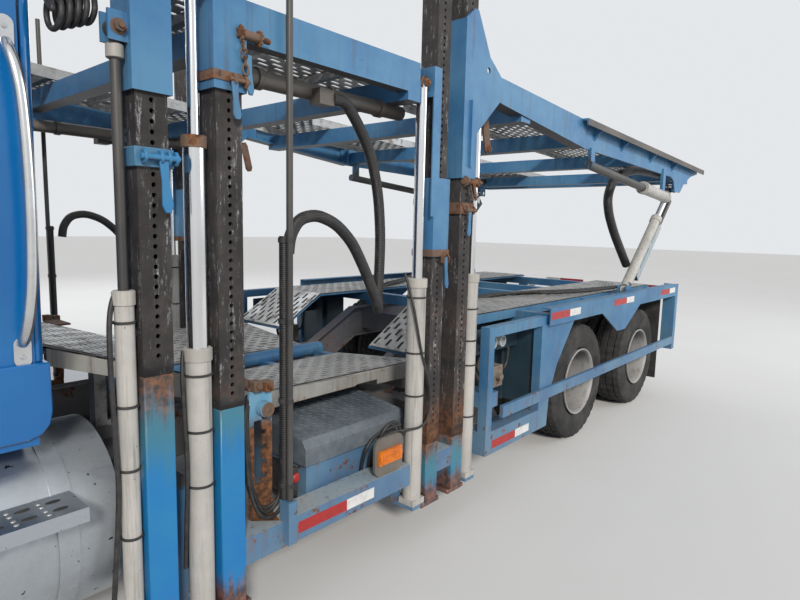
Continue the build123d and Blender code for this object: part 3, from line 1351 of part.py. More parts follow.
with BuildPart() as mid_deck:
    sleeve(post_2_x, mid_sleeve_bottom_z, mid_sleeve_top_z)
    sleeve(post_3_x, mid_carriage_bottom_z, mid_carriage_top_z)
    tie_front_x = post_3_x - post_half - running_clearance - 28
    tie_rear_x = tie_front_x + 28
    bar(post_2_x + carriage_half, cylinder_c[0] - mid_eye_radius - 8, -beam_y0, -beam_y1,
        mid_beam_top_z - mid_beam_depth, mid_beam_top_z)
    bar(cylinder_c[0] - 200, tie_rear_x, -beam_y1, -beam_y1 + tie_plate, mid_beam_top_z - mid_beam_depth,
        mid_beam_top_z)
    bar(tie_front_x, tie_rear_x, -carriage_outer_y, -beam_y1 + tie_plate, mid_beam_top_z - mid_beam_depth,
        mid_beam_top_z)
    bar(tie_front_x, tie_rear_x + 30, -carriage_outer_y, -post_outer_y - running_clearance,
        mid_carriage_bottom_z + 200, mid_beam_top_z)
    for x in mid_cross_xs:
        top_z = mid_runway_z(x - mid_cross_length / 2) - runway_lip - 10
        bar(x - mid_cross_length / 2, x + mid_cross_length / 2, -beam_y0, 0, top_z - mid_cross_depth, top_z)
        bar(x - mid_cross_length / 2, x + mid_cross_length / 2, -pipe_y - 15, -pipe_y + 15, pipe_z,
            top_z - mid_cross_depth + 5)
    long_rod(pipe_x0, pipe_x1, -pipe_y, pipe_z, pipe_radius)
    for x in (pipe_x0 + 180, pipe_x0 + 560, pipe_x1 - 160):
        long_rod(x - 14, x + 14, -pipe_y, pipe_z, pipe_radius + 7)
    bar(valve_x - 40, valve_x + 40, -pipe_y - pipe_radius - 50, -pipe_y - 20, pipe_z - 60, pipe_z + 5)
    bar(cylinder_b[0] - 30, post_2_x - carriage_half, -cylinder_y - 30, -cylinder_y + 30,
        mid_bracket_z, mid_bracket_z + mid_bracket_height)
    mirror(about=Plane.XZ)
finish(mid_deck, "mid_deck")

with BuildPart() as mid_runways:
    runway(mid_runway_x0, mid_runway_z0, mid_runway_x1, mid_runway_z1, -mid_runway_y1, -mid_runway_y0)
    for x in mid_cross_xs:
        bar(x - 30, x + 30, -mid_runway_y1, -mid_runway_y0, mid_runway_z(x - mid_cross_length / 2) - runway_lip - 10,
            mid_runway_z(x - mid_cross_length / 2) - runway_lip + 10)
    mirror(about=Plane.XZ)
finish(mid_runways, "mid_runways")

with BuildPart() as mid_deck_rods:
    upright_rod(cylinder_b[0], -cylinder_y, rod_foot_z, mid_bracket_z - seat_gap, cylinder_b[5])
    upright_rod(cylinder_c[0], -cylinder_y, rod_foot_z, mid_eye_z, cylinder_c[5])
    cross_rod(cylinder_c[0], mid_eye_z, -beam_y0, -beam_y1 - seat_gap, mid_eye_radius)
    mirror(about=Plane.XZ)
finish(mid_deck_rods, "mid_deck_rods")

# Rear deck, hinged at the rear carriages and held up by a pair of telescoping arms
rear_beam_y0 = 1244.0
rear_beam_y1 = 1154.0
flare_x = bumper_x + 6315
flare_y0 = 1290.0
flare_y1 = 1200.0
deck_web = 10.0
deck_flange = 14.0
rear_beam_front = [
    (pivot_x - 10, pivot_z + pivot_eye_radius),
    (pivot_x + 60, pivot_z + 66),
    (flare_x + 60, 2425),
    (flare_x + 60, 2232),
    (pivot_x + 85, pivot_z - 73),
    (pivot_x - 10, pivot_z - pivot_eye_radius),
]
flare_top_z = 2427.0
tip_top_z = 2334.0
fascia_drop = 44.0
fascia_thickness = 10.0
web_y = 1225.0
web_thickness = 12.0
rear_web = [
    (flare_x + 12, flare_top_z - deck_flange / 2),
    (rear_deck_tip_x - 20, tip_top_z - deck_flange / 2),
    (rear_deck_tip_x - 20, 2296),
    (bumper_x + 9130, 2245),
    (bumper_x + 8930, 2165),
    (bumper_x + 8800, 2062),
    (bumper_x + 8630, 2062),
    (bumper_x + 8570, 2160),
    (bumper_x + 8480, 2196),
    (flare_x + 12, 2238),
]
gusset_xs = [flare_x + 260, flare_x + 800, flare_x + 1500, flare_x + 2150]
gusset_drop = 110.0
gusset_sheet = 10.0
rear_runway_x0 = bumper_x + 5310
rear_runway_x1 = rear_deck_tip_x - 40
rear_runway_z0 = 2462.0
rear_runway_z1 = 2318.0
upper_runway_y0 = 450.0
upper_runway_y1 = 1080.0
rear_cross_xs = [bumper_x + 5540, bumper_x + 6480, bumper_x + 7560, bumper_x + 8715, rear_deck_tip_x - 420]
rear_cross_length = 110.0
rear_cross_depth = 105.0
arm_eye_x = bumper_x + 8715
arm_eye_z = 2100.0
clevis_half = 50.0
slot_radius = 33.0
stay_line = [(bumper_x + 6485, 2127), (bumper_x + 8315, 1990)]
stay_y = 1234.0
stay_rod_radius = 32.0
stay_barrel_radius = 50.0
stay_cap_radius = 56.0
stay_cap_length = 40.0
stay_barrel_share = 0.36


def deck_edge_z(x):
    """Height of the flared part's top edge at a station."""
    return flare_top_z + (tip_top_z - flare_top_z) * (x - flare_x) / (rear_deck_tip_x - flare_x)


def rear_runway_z(x):
    """Height of the rear deck's runways at a station."""
    slope = (rear_runway_z1 - rear_runway_z0) / (rear_runway_x1 - rear_runway_x0)
    return rear_runway_z0 + slope * (x - rear_runway_x0)


with BuildPart() as rear_deck:
    side_plate(rear_beam_front, -rear_beam_y0, -rear_beam_y1)
    cross_rod(pivot_x, pivot_z, -rear_beam_y0, -rear_beam_y1, pivot_eye_radius)
    cross_rod(pivot_x, pivot_z, -rear_beam_y0 - 1, -rear_beam_y1 + 1, pivot_pin_radius + seat_gap,
              mode=Mode.SUBTRACT)
    hollow_front = [
        (pivot_x + 150, 2482 - deck_flange - 4), (flare_x + 40, 2426 - deck_flange),
        (flare_x + 40, 2234 + deck_flange), (pivot_x + 150, 2345 + deck_flange),
    ]
    side_plate(hollow_front, -rear_beam_y0 + deck_web, -rear_beam_y1 + 1, mode=Mode.SUBTRACT)
    # Flared part: top plate, thin fascia down its edge, web inboard and gussets between
    for drop, y0, y1 in ((deck_flange, flare_y0, flare_y1), (fascia_drop, flare_y0, flare_y0 - fascia_thickness)):
        side_plate(
            [
                (flare_x, flare_top_z),
                (rear_deck_tip_x, tip_top_z),
                (rear_deck_tip_x, tip_top_z - drop),
                (flare_x, flare_top_z - drop),
            ],
            -y0, -y1,
        )
    side_plate(rear_web, -web_y, -web_y + web_thickness)
    for x in gusset_xs:
        top_z = deck_edge_z(x) - deck_flange / 2
        with BuildSketch(Plane(origin=(x, 0, 0), x_dir=(0, 1, 0), z_dir=(1, 0, 0))) as gusset:
            with BuildLine():
                Polyline((-flare_y0 + 2, top_z), (-web_y + 2, top_z), (-web_y + 2, top_z - gusset_drop),
                         (-flare_y0 + 2, top_z - fascia_drop + 10), close=True)
            make_face()
        extrude(gusset.sketch, amount=gusset_sheet)
    for x in rear_cross_xs:
        top_z = rear_runway_z(x + rear_cross_length / 2) - runway_lip
        y0 = -rear_beam_y0 + deck_web if x < flare_x else -web_y
        bar(x - rear_cross_length / 2, x + rear_cross_length / 2, y0, 0, top_z - rear_cross_depth, top_z)
    for side in (-1, 1):
        y = -arm_y + side * (arm_eye_half_width + running_clearance + arm_plate_thickness / 2)
        with BuildSketch(Plane.XZ.offset(-(y - arm_plate_thickness / 2))) as cheek:
            with Locations((arm_eye_x, arm_eye_z + 60)):
                Rectangle(2 * clevis_half, 200)
            with Locations((arm_eye_x, arm_eye_z)):
                Circle(slot_radius, mode=Mode.SUBTRACT)
        extrude(cheek.sketch, amount=-arm_plate_thickness)
    # Stay cylinder slung under the web
    (x0, z0), (x1, z1) = stay_line
    stay_length = hypot(x1 - x0, z1 - z0)
    stay_plane = Plane(origin=(x0, -stay_y, z0), x_dir=(0, 1, 0), z_dir=(x1 - x0, 0, z1 - z0))
    barrel_start = stay_length * (1 - stay_barrel_share)
    for start, end, radius in (
        (0, stay_length, stay_rod_radius),
        (barrel_start, stay_length, stay_barrel_radius),
        (barrel_start, barrel_start + stay_cap_length, stay_cap_radius),
        (stay_length - stay_cap_length, stay_length, stay_cap_radius),
    ):
        with BuildSketch(stay_plane.offset(start)) as stay:
            Circle(radius)
        extrude(stay.sketch, amount=end - start)
    for x, z in ((x0 + 60, z0), (x1 - 90, z1)):
        bar(x - 35, x + 35, -stay_y - 6, -web_y + web_thickness, z - 10, 2250)
    mirror(about=Plane.XZ)
finish(rear_deck, "rear_deck")

with BuildPart() as rear_runways:
    runway(rear_runway_x0, rear_runway_z0, rear_runway_x1, rear_runway_z1, -upper_runway_y1, -upper_runway_y0)
    mirror(about=Plane.XZ)
finish(rear_runways, "rear_runways")

# Telescoping arms under the rear deck
arm_angle = atan2(arm_eye_z - arm_base_z, arm_eye_x - arm_base_x)
arm_length = hypot(arm_eye_z - arm_base_z, arm_eye_x - arm_base_x)
arm_barrel_radius = 45.0
arm_barrel_length = 1000.0
arm_rod_radius = 28.0
arm_rod_foot = 420.0
arm_bore_foot = 80.0
arm_eye_radius = 36.0
guide_offset = 100.0
guide_half_width = 27.0
guide_depth = 62.0
guide_wall = 6.0
guide_foot = 250.0
guide_bar_half_width = 17.0
guide_bar_depth = 40.0
guide_bar_foot = 500.0
guide_links = [guide_foot + 20, 620.0]
guide_link_length = 80.0


def arm_barrel(side):
    """The barrel on one side, with its foot eye."""
    y = side * arm_y
    along = Plane(origin=(arm_base_x, y, arm_base_z), x_dir=(0, 1, 0), z_dir=(cos(arm_angle), 0, sin(arm_angle)))
    with BuildSketch(along.offset(30)) as barrel_section:
        Circle(arm_barrel_radius)
    extrude(barrel_section.sketch, amount=arm_barrel_length - 30)
    with BuildSketch(along.offset(arm_barrel_length - 60)) as gland:
        Circle(arm_barrel_radius + 7)
    extrude(gland.sketch, amount=60)
    cross_rod(arm_base_x, arm_base_z, y - arm_eye_half_width, y + arm_eye_half_width, arm_eye_radius)
    with BuildSketch(along.offset(guide_foot)) as guide:
        with Locations((0, -guide_offset)):
            Rectangle(2 * guide_half_width, guide_depth)
            Rectangle(2 * (guide_half_width - guide_wall), guide_depth - 2 * guide_wall, mode=Mode.SUBTRACT)
    extrude(guide.sketch, amount=arm_barrel_length - guide_foot)
    link_inner = arm_barrel_radius - 8
    link_outer = guide_offset - guide_depth / 2 + guide_wall / 2
    for start in guide_links:
        with BuildSketch(along.offset(start)) as link:
            with Locations((0, -(link_inner + link_outer) / 2)):
                Rectangle(2 * guide_half_width, link_outer - link_inner)
        extrude(link.sketch, amount=guide_link_length)
    for edge in (y - arm_barrel_radius - 1, y + arm_eye_half_width):
        with BuildSketch(Plane.XZ.offset(-edge)) as relief:
            with Locations((arm_base_x, arm_base_z)):
                Circle(arm_eye_radius + 40)
        extrude(relief.sketch, amount=-(arm_barrel_radius + 1 - arm_eye_half_width), mode=Mode.SUBTRACT)
    cross_rod(arm_base_x, arm_base_z, y - arm_barrel_radius, y + arm_barrel_radius, arm_pin_radius + seat_gap,
              mode=Mode.SUBTRACT)
    with BuildSketch(along.offset(arm_bore_foot)) as bore:
        Circle(arm_rod_radius + cylinder_bore_gap)
    extrude(bore.sketch, amount=arm_length, mode=Mode.SUBTRACT)


def arm_rod(side):
    """The rod on one side, with its eye and the pin it carries."""
    y = side * arm_y
    along = Plane(origin=(arm_base_x, y, arm_base_z), x_dir=(0, 1, 0), z_dir=(cos(arm_angle), 0, sin(arm_angle)))
    with BuildSketch(along.offset(arm_rod_foot)) as rod_section:
        Circle(arm_rod_radius)
    extrude(rod_section.sketch, amount=arm_length - arm_rod_foot - arm_eye_radius + 8)
    cross_rod(arm_eye_x, arm_eye_z, y - arm_eye_half_width, y + arm_eye_half_width, arm_eye_radius)
    bar_end = arm_length - arm_eye_radius - 30
    with BuildSketch(along.offset(guide_bar_foot)) as guide_bar:
        with Locations((0, -guide_offset)):
            Rectangle(2 * guide_bar_half_width, guide_bar_depth)
    extrude(guide_bar.sketch, amount=bar_end - guide_bar_foot)
    with BuildSketch(along.offset(bar_end - 60)) as bar_head:
        with Locations((0, -guide_offset / 2)):
            Rectangle(2 * guide_bar_half_width, guide_offset + guide_bar_depth)
    extrude(bar_head.sketch, amount=60)
    pin_reach = arm_eye_half_width + running_clearance + arm_plate_thickness + 8
    cross_rod(arm_eye_x, arm_eye_z, y - pin_reach, y + pin_reach, arm_pin_radius)


with BuildPart() as rear_arm_barrel_left:
    arm_barrel(-1)
finish(rear_arm_barrel_left, "rear_arm_barrel_left")

with BuildPart() as rear_arm_barrel_right:
    arm_barrel(1)
finish(rear_arm_barrel_right, "rear_arm_barrel_right")

with BuildPart() as rear_arm_rod_left:
    arm_rod(-1)
finish(rear_arm_rod_left, "rear_arm_rod_left")

with BuildPart() as rear_arm_rod_right:
    arm_rod(1)
finish(rear_arm_rod_right, "rear_arm_rod_right")

# Hydraulic hoses: up the brace rods, the free loops under the mid deck, and the loops to the rear arms
rod_hose_radius = 20.0
rod_hose_y = brace_rod_y - brace_rod_radius - rod_hose_radius - seat_gap
rod_hose_foot_z = sill_top_z + 90 + seat_gap
rod_hose_top_z = 1600.0
mid_hose_radius = 25.0
mid_hose_y = 1182.0
valve_hose_y = 1120.0
valve_rear_x = valve_x + 40
# Points of the free loop, as (station, distance out, height)
mid_hose_points = [
    (valve_rear_x + seat_gap, valve_hose_y, 2184),
    (bumper_x + 4150, valve_hose_y, 2184),
    (bumper_x + 4235, valve_hose_y, 2095),
    (bumper_x + 4318, valve_hose_y, 1975),
    (bumper_x + 4372, valve_hose_y, 1800),
    (bumper_x + 4393, valve_hose_y, 1600),
    (bumper_x + 4388, valve_hose_y, 1420),
    (bumper_x + 4380, valve_hose_y, 1290),
    (bumper_x + 4352, (valve_hose_y + mid_hose_y) / 2, 1240),
    (bumper_x + 4311, mid_hose_y, 1287),
    (bumper_x + 4226, mid_hose_y, 1446),
    (bumper_x + 4140, mid_hose_y, 1575),
    (bumper_x + 4040, mid_hose_y, 1655),
    (bumper_x + 3931, mid_hose_y, 1688),
    (bumper_x + 3840, mid_hose_y, 1668),
    (bumper_x + 3794, mid_hose_y, 1600),
    (bumper_x + 3785, mid_hose_y, 1530),
]
rear_hose_radius = 38.0
rear_hose_y = 1062.0
rear_hose_points = [
    (rear_cross_xs[3] - rear_cross_length / 2 - seat_gap, rear_hose_y, 2235),
    (bumper_x + 8300, rear_hose_y, 2235),
    (bumper_x + 7960, rear_hose_y, 2226),
    (bumper_x + 7640, rear_hose_y, 2168),
    (bumper_x + 7400, rear_hose_y, 2078),
    (bumper_x + 7310, rear_hose_y, 1940),
    (bumper_x + 7365, rear_hose_y, 1800),
    (bumper_x + 7500, rear_hose_y, 1650),
    (bumper_x + 7690, rear_hose_y, 1490),
    (bumper_x + 7870, rear_hose_y, 1345),
]


def bend_radii(points):
    """A radius for each corner of a hose, as large as its two runs allow."""
    radii = []
    for before, here, after in zip(points, points[1:], points[2:]):
        run_in, run_out = here - before, after - here
        turn = radians(run_in.get_angle(run_out))
        radii.append(0.45 * min(run_in.length, run_out.length) / tan(turn / 2))
    return radii


def hose(points, radius):
    """A left hose through points given as (station, distance out, height)."""
    corners = [Vector(x, -y, z) for x, y, z in points]
    radii = bend_radii(corners)
    print("hose bends, mm:", [round(value) for value in radii])
    with BuildLine() as route:
        FilletPolyline(*corners, radius=radii)
    with BuildSketch(Plane(origin=corners[0], z_dir=corners[1] - corners[0])) as section:
        Circle(radius)
    sweep(section.sketch, path=route.wire())


with BuildPart() as hydraulic_hoses:
    upright_rod(brace_rod_x, -rod_hose_y, rod_hose_foot_z, rod_hose_top_z, rod_hose_radius)
    mirror(about=Plane.XZ)
finish(hydraulic_hoses, "hydraulic_hoses")

with BuildPart() as mid_deck_hoses:
    hose(mid_hose_points, mid_hose_radius)
    mirror(about=Plane.XZ)
finish(mid_deck_hoses, "mid_deck_hoses")

with BuildPart() as rear_deck_hoses:
    hose(rear_hose_points, rear_hose_radius)
    mirror(about=Plane.XZ)
finish(rear_deck_hoses, "rear_deck_hoses")
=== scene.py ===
# %% [markdown]
# # A car transporter truck, dressed for its portrait
# The solids of the truck come from CAD and stay where they are. This lesson
# gives them paint, rust, chrome and rubber, and adds what is too small for CAD:
# the pin holes at their true pitch, slotted runways, hoses, bolts and tape.
# Everything is in metres, in the frame of the CAD model: X runs back along the
# truck, Y to its right, Z up.

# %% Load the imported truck
import json
import math

import bmesh
import bpy
from mathutils import Matrix, Vector


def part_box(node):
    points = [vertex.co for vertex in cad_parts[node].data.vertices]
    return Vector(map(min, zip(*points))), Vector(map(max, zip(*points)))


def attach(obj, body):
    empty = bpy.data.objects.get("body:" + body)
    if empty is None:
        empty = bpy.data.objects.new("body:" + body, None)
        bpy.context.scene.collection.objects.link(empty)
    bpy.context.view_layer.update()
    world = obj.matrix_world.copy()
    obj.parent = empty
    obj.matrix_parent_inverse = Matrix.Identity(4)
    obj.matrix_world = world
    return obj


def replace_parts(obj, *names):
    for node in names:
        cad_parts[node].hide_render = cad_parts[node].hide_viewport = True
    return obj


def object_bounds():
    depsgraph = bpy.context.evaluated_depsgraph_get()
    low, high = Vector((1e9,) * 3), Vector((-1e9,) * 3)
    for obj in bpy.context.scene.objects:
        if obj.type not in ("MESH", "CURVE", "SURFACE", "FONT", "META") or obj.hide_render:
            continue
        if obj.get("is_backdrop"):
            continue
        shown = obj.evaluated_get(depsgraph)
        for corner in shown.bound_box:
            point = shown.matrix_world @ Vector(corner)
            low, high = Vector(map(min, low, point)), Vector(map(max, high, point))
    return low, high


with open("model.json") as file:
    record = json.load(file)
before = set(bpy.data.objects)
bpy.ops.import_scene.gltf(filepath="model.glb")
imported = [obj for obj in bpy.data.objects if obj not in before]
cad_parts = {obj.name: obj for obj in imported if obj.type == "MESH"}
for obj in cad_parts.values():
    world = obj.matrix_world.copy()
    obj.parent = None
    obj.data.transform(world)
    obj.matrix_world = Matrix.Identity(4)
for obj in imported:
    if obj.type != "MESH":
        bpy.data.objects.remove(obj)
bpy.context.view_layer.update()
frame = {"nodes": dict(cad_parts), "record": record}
nodes = frame["nodes"]


def add_object(name, data):
    """A new object, linked into the scene."""
    obj = bpy.data.objects.new(name, data)
    bpy.context.scene.collection.objects.link(obj)
    return obj


def circle(count, radius=1.0, offset=0.0):
    """Pairs round a circle; offset moves the first one on, in steps."""
    turns = (math.tau * (k + offset) / count for k in range(count))
    return [(radius * math.cos(turn), radius * math.sin(turn)) for turn in turns]


def around(items):
    """Each item with the next one, and the last with the first."""
    return zip(items, items[1:] + items[:1])


# %% [markdown]
# ## The camera
# The photograph was taken from beside the cab's rear corner, at eye height,
# looking back along the truck with a 26 mm lens. The camera's place and its
# three turns come from the wheels, the tape and the legal width.

# %% Place the camera
CAMERA_PLACE = Vector((-2.385, -3.042, 1.644))
CAMERA_YAW, CAMERA_PITCH, CAMERA_ROLL = (math.radians(turn) for turn in (49.28, 7.11, 1.32))
LENS_MM, SENSOR_MM = 26.235, 36.0

plumb = Vector((0, 0, 1))
ahead = Vector((math.sin(CAMERA_YAW), math.cos(CAMERA_YAW), 0))
beside = Vector((math.cos(CAMERA_YAW), -math.sin(CAMERA_YAW), 0))
forward = ahead * math.cos(CAMERA_PITCH) - plumb * math.sin(CAMERA_PITCH)
above = ahead * math.sin(CAMERA_PITCH) + plumb * math.cos(CAMERA_PITCH)
right = beside * math.cos(CAMERA_ROLL) + above * math.sin(CAMERA_ROLL)
up = above * math.cos(CAMERA_ROLL) - beside * math.sin(CAMERA_ROLL)

camera = add_object("camera", bpy.data.cameras.new("camera"))
camera.data.lens = LENS_MM
camera.data.sensor_width = SENSOR_MM
camera.data.clip_start = 0.02
facing = Matrix((right, up, -forward)).transposed().to_4x4()
camera.matrix_world = Matrix.Translation(CAMERA_PLACE) @ facing
bpy.context.scene.camera = camera
bpy.context.scene.view_settings.view_transform = "Standard"
print("camera looks along", [round(v, 3) for v in forward])

# %% [markdown]
# ## Shader maths as Python
# A material is easier to read as a formula than as a web of boxes. A small
# class wraps a socket, and Python's own operators add the Math nodes. Colours
# never pass through Math, which would turn them grey: they are mixed.


# %% A value in a shader
class Value:
    """One output socket; arithmetic on it adds Math nodes."""

    def __init__(self, graph, socket):
        self.graph = graph
        self.socket = socket

    def math(self, operation, other, place=0):
        """A Math node with this value in the given place, 0 or 1, and another in the other."""
        return self.graph.node("ShaderNodeMath", {"operation": operation}, {place: self, 1 - place: other})

    def __add__(self, other):
        return self.math("ADD", other)

    __radd__ = __add__

    def __sub__(self, other):
        return self.math("SUBTRACT", other)

    def __rsub__(self, other):
        return self.math("SUBTRACT", other, 1)

    def __mul__(self, other):
        return self.math("MULTIPLY", other)

    def at_most(self, other):
        return self.math("MINIMUM", other)

    def step(self, low, high):
        """0 below low, 1 above high, smooth between; low may be the larger."""
        return self.graph.node("ShaderNodeMapRange", {"interpolation_type": "SMOOTHSTEP"},
                               {"Value": self, "From Min": low, "From Max": high})


class Graph:
    """A node tree, and one method that adds any node to it."""

    def __init__(self, tree):
        self.tree = tree

    def node(self, kind, settings=None, inputs=None, output=0):
        made = self.tree.nodes.new(kind)
        for setting, value in (settings or {}).items():
            setattr(made, setting, value)
        for socket, value in (inputs or {}).items():
            self.feed(made.inputs[socket], value)
        return Value(self, made.outputs[output]) if made.outputs else None

    def feed(self, socket, value):
        """Links a value, or sets a number, a vector or a colour without its alpha."""
        if isinstance(value, Value):
            self.tree.links.new(value.socket, socket)
        elif isinstance(value, tuple) and len(value) < len(socket.default_value):
            socket.default_value = (*value, 1.0)
        else:
            socket.default_value = value


class Shade(Graph):
    """A new material; sockets are constants on its surface, such as Coat_Weight."""

    def __init__(self, name, **sockets):
        self.material = bpy.data.materials.new(name)
        self.material.use_nodes = True
        super().__init__(self.material.node_tree)
        self.surface = self.tree.nodes["Principled BSDF"].inputs
        for socket, value in sockets.items():
            self.surface[socket.replace("_", " ")].default_value = value

    def place(self):
        """Object coordinates, which are the truck's own metres."""
        return self.node("ShaderNodeTexCoord", output=3)

    def up(self, coordinates=None):
        """The Z part of coordinates, or the height over the ground."""
        return self.node("ShaderNodeSeparateXYZ", inputs={0: coordinates or self.place()}, output=2)

    def noise(self, scale, detail=4.0, roughness=0.6, stretch=(1, 1, 1), shift=0.0):
        """Noise from 0 to 1 over the truck; stretch squeezes it along an axis."""
        moved = self.node("ShaderNodeVectorMath", {"operation": "MULTIPLY_ADD"},
                          {0: self.place(), 1: stretch, 2: (shift, shift, shift)})
        return self.node("ShaderNodeTexNoise", None,
                         {"Vector": moved, "Scale": scale, "Detail": detail, "Roughness": roughness})

    def layers(self, colour, *coats):
        """Coats laid over a colour one by one, each an amount from 0 to 1 and its colour."""
        for amount, coat in coats:
            colour = self.node("ShaderNodeMix", {"data_type": "RGBA"},
                               {"Factor": amount, 6: colour, 7: coat}, output=2)
        return colour

    def done(self, colour, rough, metal=None, bump=None):
        """Feeds the surface and gives the material; bump is a height, a strength and a distance."""
        if bump:
            bump = self.node("ShaderNodeBump", None, dict(zip(("Height", "Strength", "Distance"), bump)))
        for socket, value in (("Base Color", colour), ("Roughness", rough), ("Metallic", metal),
                              ("Normal", bump)):
            if value is not None:
                self.feed(self.surface[socket], value)
        return self.material


# %% [markdown]
# ## Paint that has stood outside for years
# The blue of the frame has faded and chalked in patches, rust has broken
# through in specks and along the lower edges, and rain has drawn it down in
# streaks. Three noises make this: a wide one for fading, a sharp one for the
# rust spots, and one squeezed along Z for the streaks. Dust settles low down.
# Faces that look down are darkened with painted shade.

# %% Weathered paint
RUST_DARK, RUST_WARM = (0.055, 0.026, 0.014), (0.22, 0.085, 0.032)
# The second colour on the next line is a dark brown, used for the grime streaks and for painted shade on
# faces that look down
DUST, GRIME_AND_SHADE = (0.33, 0.28, 0.22), (0.045, 0.034, 0.028)


def rust_colour(shade):
    return shade.layers(RUST_DARK, (shade.noise(38.0, 5.0, shift=4.0).step(0.35, 0.68), RUST_WARM))


def weathered(name, fresh, faded, rust=0.5, low=0.5, gloss=0.38, dust=0.4, coat=0.0, under=0.7, grime=0.45):
    """Paint with fading, rust spots, streaks, dust, and painted shade on faces that look down. rust is 0 to
    1, low is the height it gathers at.
    """
    shade = Shade(name, Coat_Weight=coat)
    fade = shade.noise(1.7, 5.0, 0.65).step(0.36, 0.66)
    grain = shade.noise(24.0, 3.0, 0.7, shift=9.0)
    streak = shade.noise(5.0, 4.0, 0.6, stretch=(7.0, 7.0, 0.35), shift=2.0)
    near_ground = shade.up().step(low + 0.35, low - 0.15)
    # Faces that look down; below they are darkened as painted shade
    underside_shade = shade.up(shade.node("ShaderNodeTexCoord", output=1)).step(-0.35, -0.85)
    spots = shade.noise(13.0, 8.0, 0.72, shift=1.0) + near_ground * 0.085 + streak * 0.10 - 0.05
    start = 0.76 - 0.16 * rust
    rusted = spots.step(start, start + 0.045)
    stained = (spots * 0.6 + streak * 0.4).step(start - 0.11, start + 0.03) * (0.55 * rust)
    dusty = (near_ground * 0.5 + grain * 0.25 + fade * 0.15).at_most(1.0) * dust
    colour = shade.layers(fresh, (fade * 0.8 + streak * 0.2, faded),
                          (streak.step(0.52, 0.74) * grime, GRIME_AND_SHADE),
                          (stained, RUST_WARM), (dusty, DUST), (underside_shade * under, GRIME_AND_SHADE),
                          (rusted, rust_colour(shade)))
    rough = (grain * 0.2 + gloss + dusty * 0.4).at_most(1.0) * (1 - rusted) + rusted * 0.92
    return shade.done(colour, rough, bump=(grain * 0.25 - rusted * 0.8 + spots * 0.3, 0.22, 0.002))


cab_blue = weathered("cab_blue", (0.001, 0.105, 0.33), (0.003, 0.130, 0.37), rust=0.0, gloss=0.10,
                     dust=0.02, coat=0.35, under=0.2, grime=0.0)
frame_blue = weathered("frame_blue", (0.016, 0.112, 0.26), (0.055, 0.195, 0.33), rust=0.62, dust=0.28)
beam_blue = weathered("beam_blue", (0.020, 0.125, 0.29), (0.062, 0.210, 0.37), rust=0.45, low=-2.0,
                      dust=0.2, under=0.95)
post_blue = weathered("post_blue", (0.005, 0.145, 0.40), (0.020, 0.185, 0.36), low=0.25, dust=0.2)
# A much darker copy of the frame blue for the bulkhead inside the box: painted shade of the recess
box_inside = weathered("box_inside", (0.006, 0.024, 0.042), (0.014, 0.042, 0.064), rust=0.4, low=0.3,
                       dust=0.1)
chassis_blue = weathered("chassis_blue", (0.010, 0.030, 0.070), (0.028, 0.05, 0.085), rust=0.6, low=0.8,
                         dust=0.5)
ivory = weathered("ivory_paint", (0.44, 0.42, 0.38), (0.30, 0.29, 0.265), rust=0.45, low=0.25, dust=0.25)
fascia_pale = weathered("fascia_pale", (0.36, 0.36, 0.34), (0.20, 0.20, 0.19), rust=0.8, low=-1.0, dust=0.5)
flange_pale = weathered("flange_pale", (0.26, 0.34, 0.40), (0.38, 0.40, 0.40), low=0.1, dust=0.6)
wheel_paint = weathered("wheel_paint", (0.34, 0.34, 0.34), (0.20, 0.20, 0.20), rust=0.35, low=0.3, dust=0.25)
iron_black = weathered("iron_black", (0.02, 0.02, 0.02), (0.05, 0.045, 0.04), rust=0.6, low=0.9, dust=0.7)
iron_rusty = weathered("iron_rusty", (0.075, 0.040, 0.026), (0.13, 0.075, 0.05), rust=1.0, low=3.0,
                       gloss=0.7, dust=0.2)
rod_dull = weathered("rod_dull", (0.026, 0.026, 0.027), (0.055, 0.053, 0.050), rust=0.3, low=-1.0,
                     gloss=0.35, dust=0.15)
pipe_grey = weathered("pipe_grey", (0.10, 0.088, 0.076), (0.17, 0.15, 0.13), rust=0.6, low=-1.0, dust=0.3)
print("paints", [material.name for material in bpy.data.materials])

# %% [markdown]
# ## Paint with a story
# The cylinders are off-white with soot streaks, scratches and dark chips. The
# rack and the posts' lower ends are blue where the paint has held. Up to the
# line where the bare steel starts, the posts turn teal and then rusty.


# %% Cylinder, rack and post paint
def barrel_paint():
    shade = Shade("barrel_paint")
    patch = shade.noise(3.0, 6.0, 0.7).step(0.35, 0.7)
    streak = shade.noise(8.0, 6.0, 0.75, stretch=(6.0, 6.0, 0.20), shift=5.0)
    chips = shade.noise(85.0, 3.0, 0.6, shift=2.0).step(0.70, 0.745)
    colour = shade.layers((0.45, 0.43, 0.40), (patch, (0.34, 0.33, 0.31)),
                          (streak.step(0.50, 0.72) * 0.75, (0.13, 0.12, 0.11)),
                          (streak.step(0.36, 0.26) * 0.35, (0.13, 0.20, 0.26)), (chips, (0.03, 0.022, 0.018)))
    return shade.done(colour, streak * 0.25 + 0.42, bump=(shade.noise(60.0) * 0.3 - chips, 0.15, 0.001))


def rack_paint():
    shade = Shade("rack_paint")
    worn = (shade.up() + shade.noise(9.0, 6.0, 0.7) * 0.16).step(0.99, 0.90)
    colour = shade.layers((0.10, 0.30, 0.48), (shade.noise(12.0).step(0.3, 0.7), (0.20, 0.36, 0.46)),
                          (worn, rust_colour(shade)))
    return shade.done(colour, worn * 0.4 + 0.5, bump=(shade.noise(60.0), 0.3, 0.002))


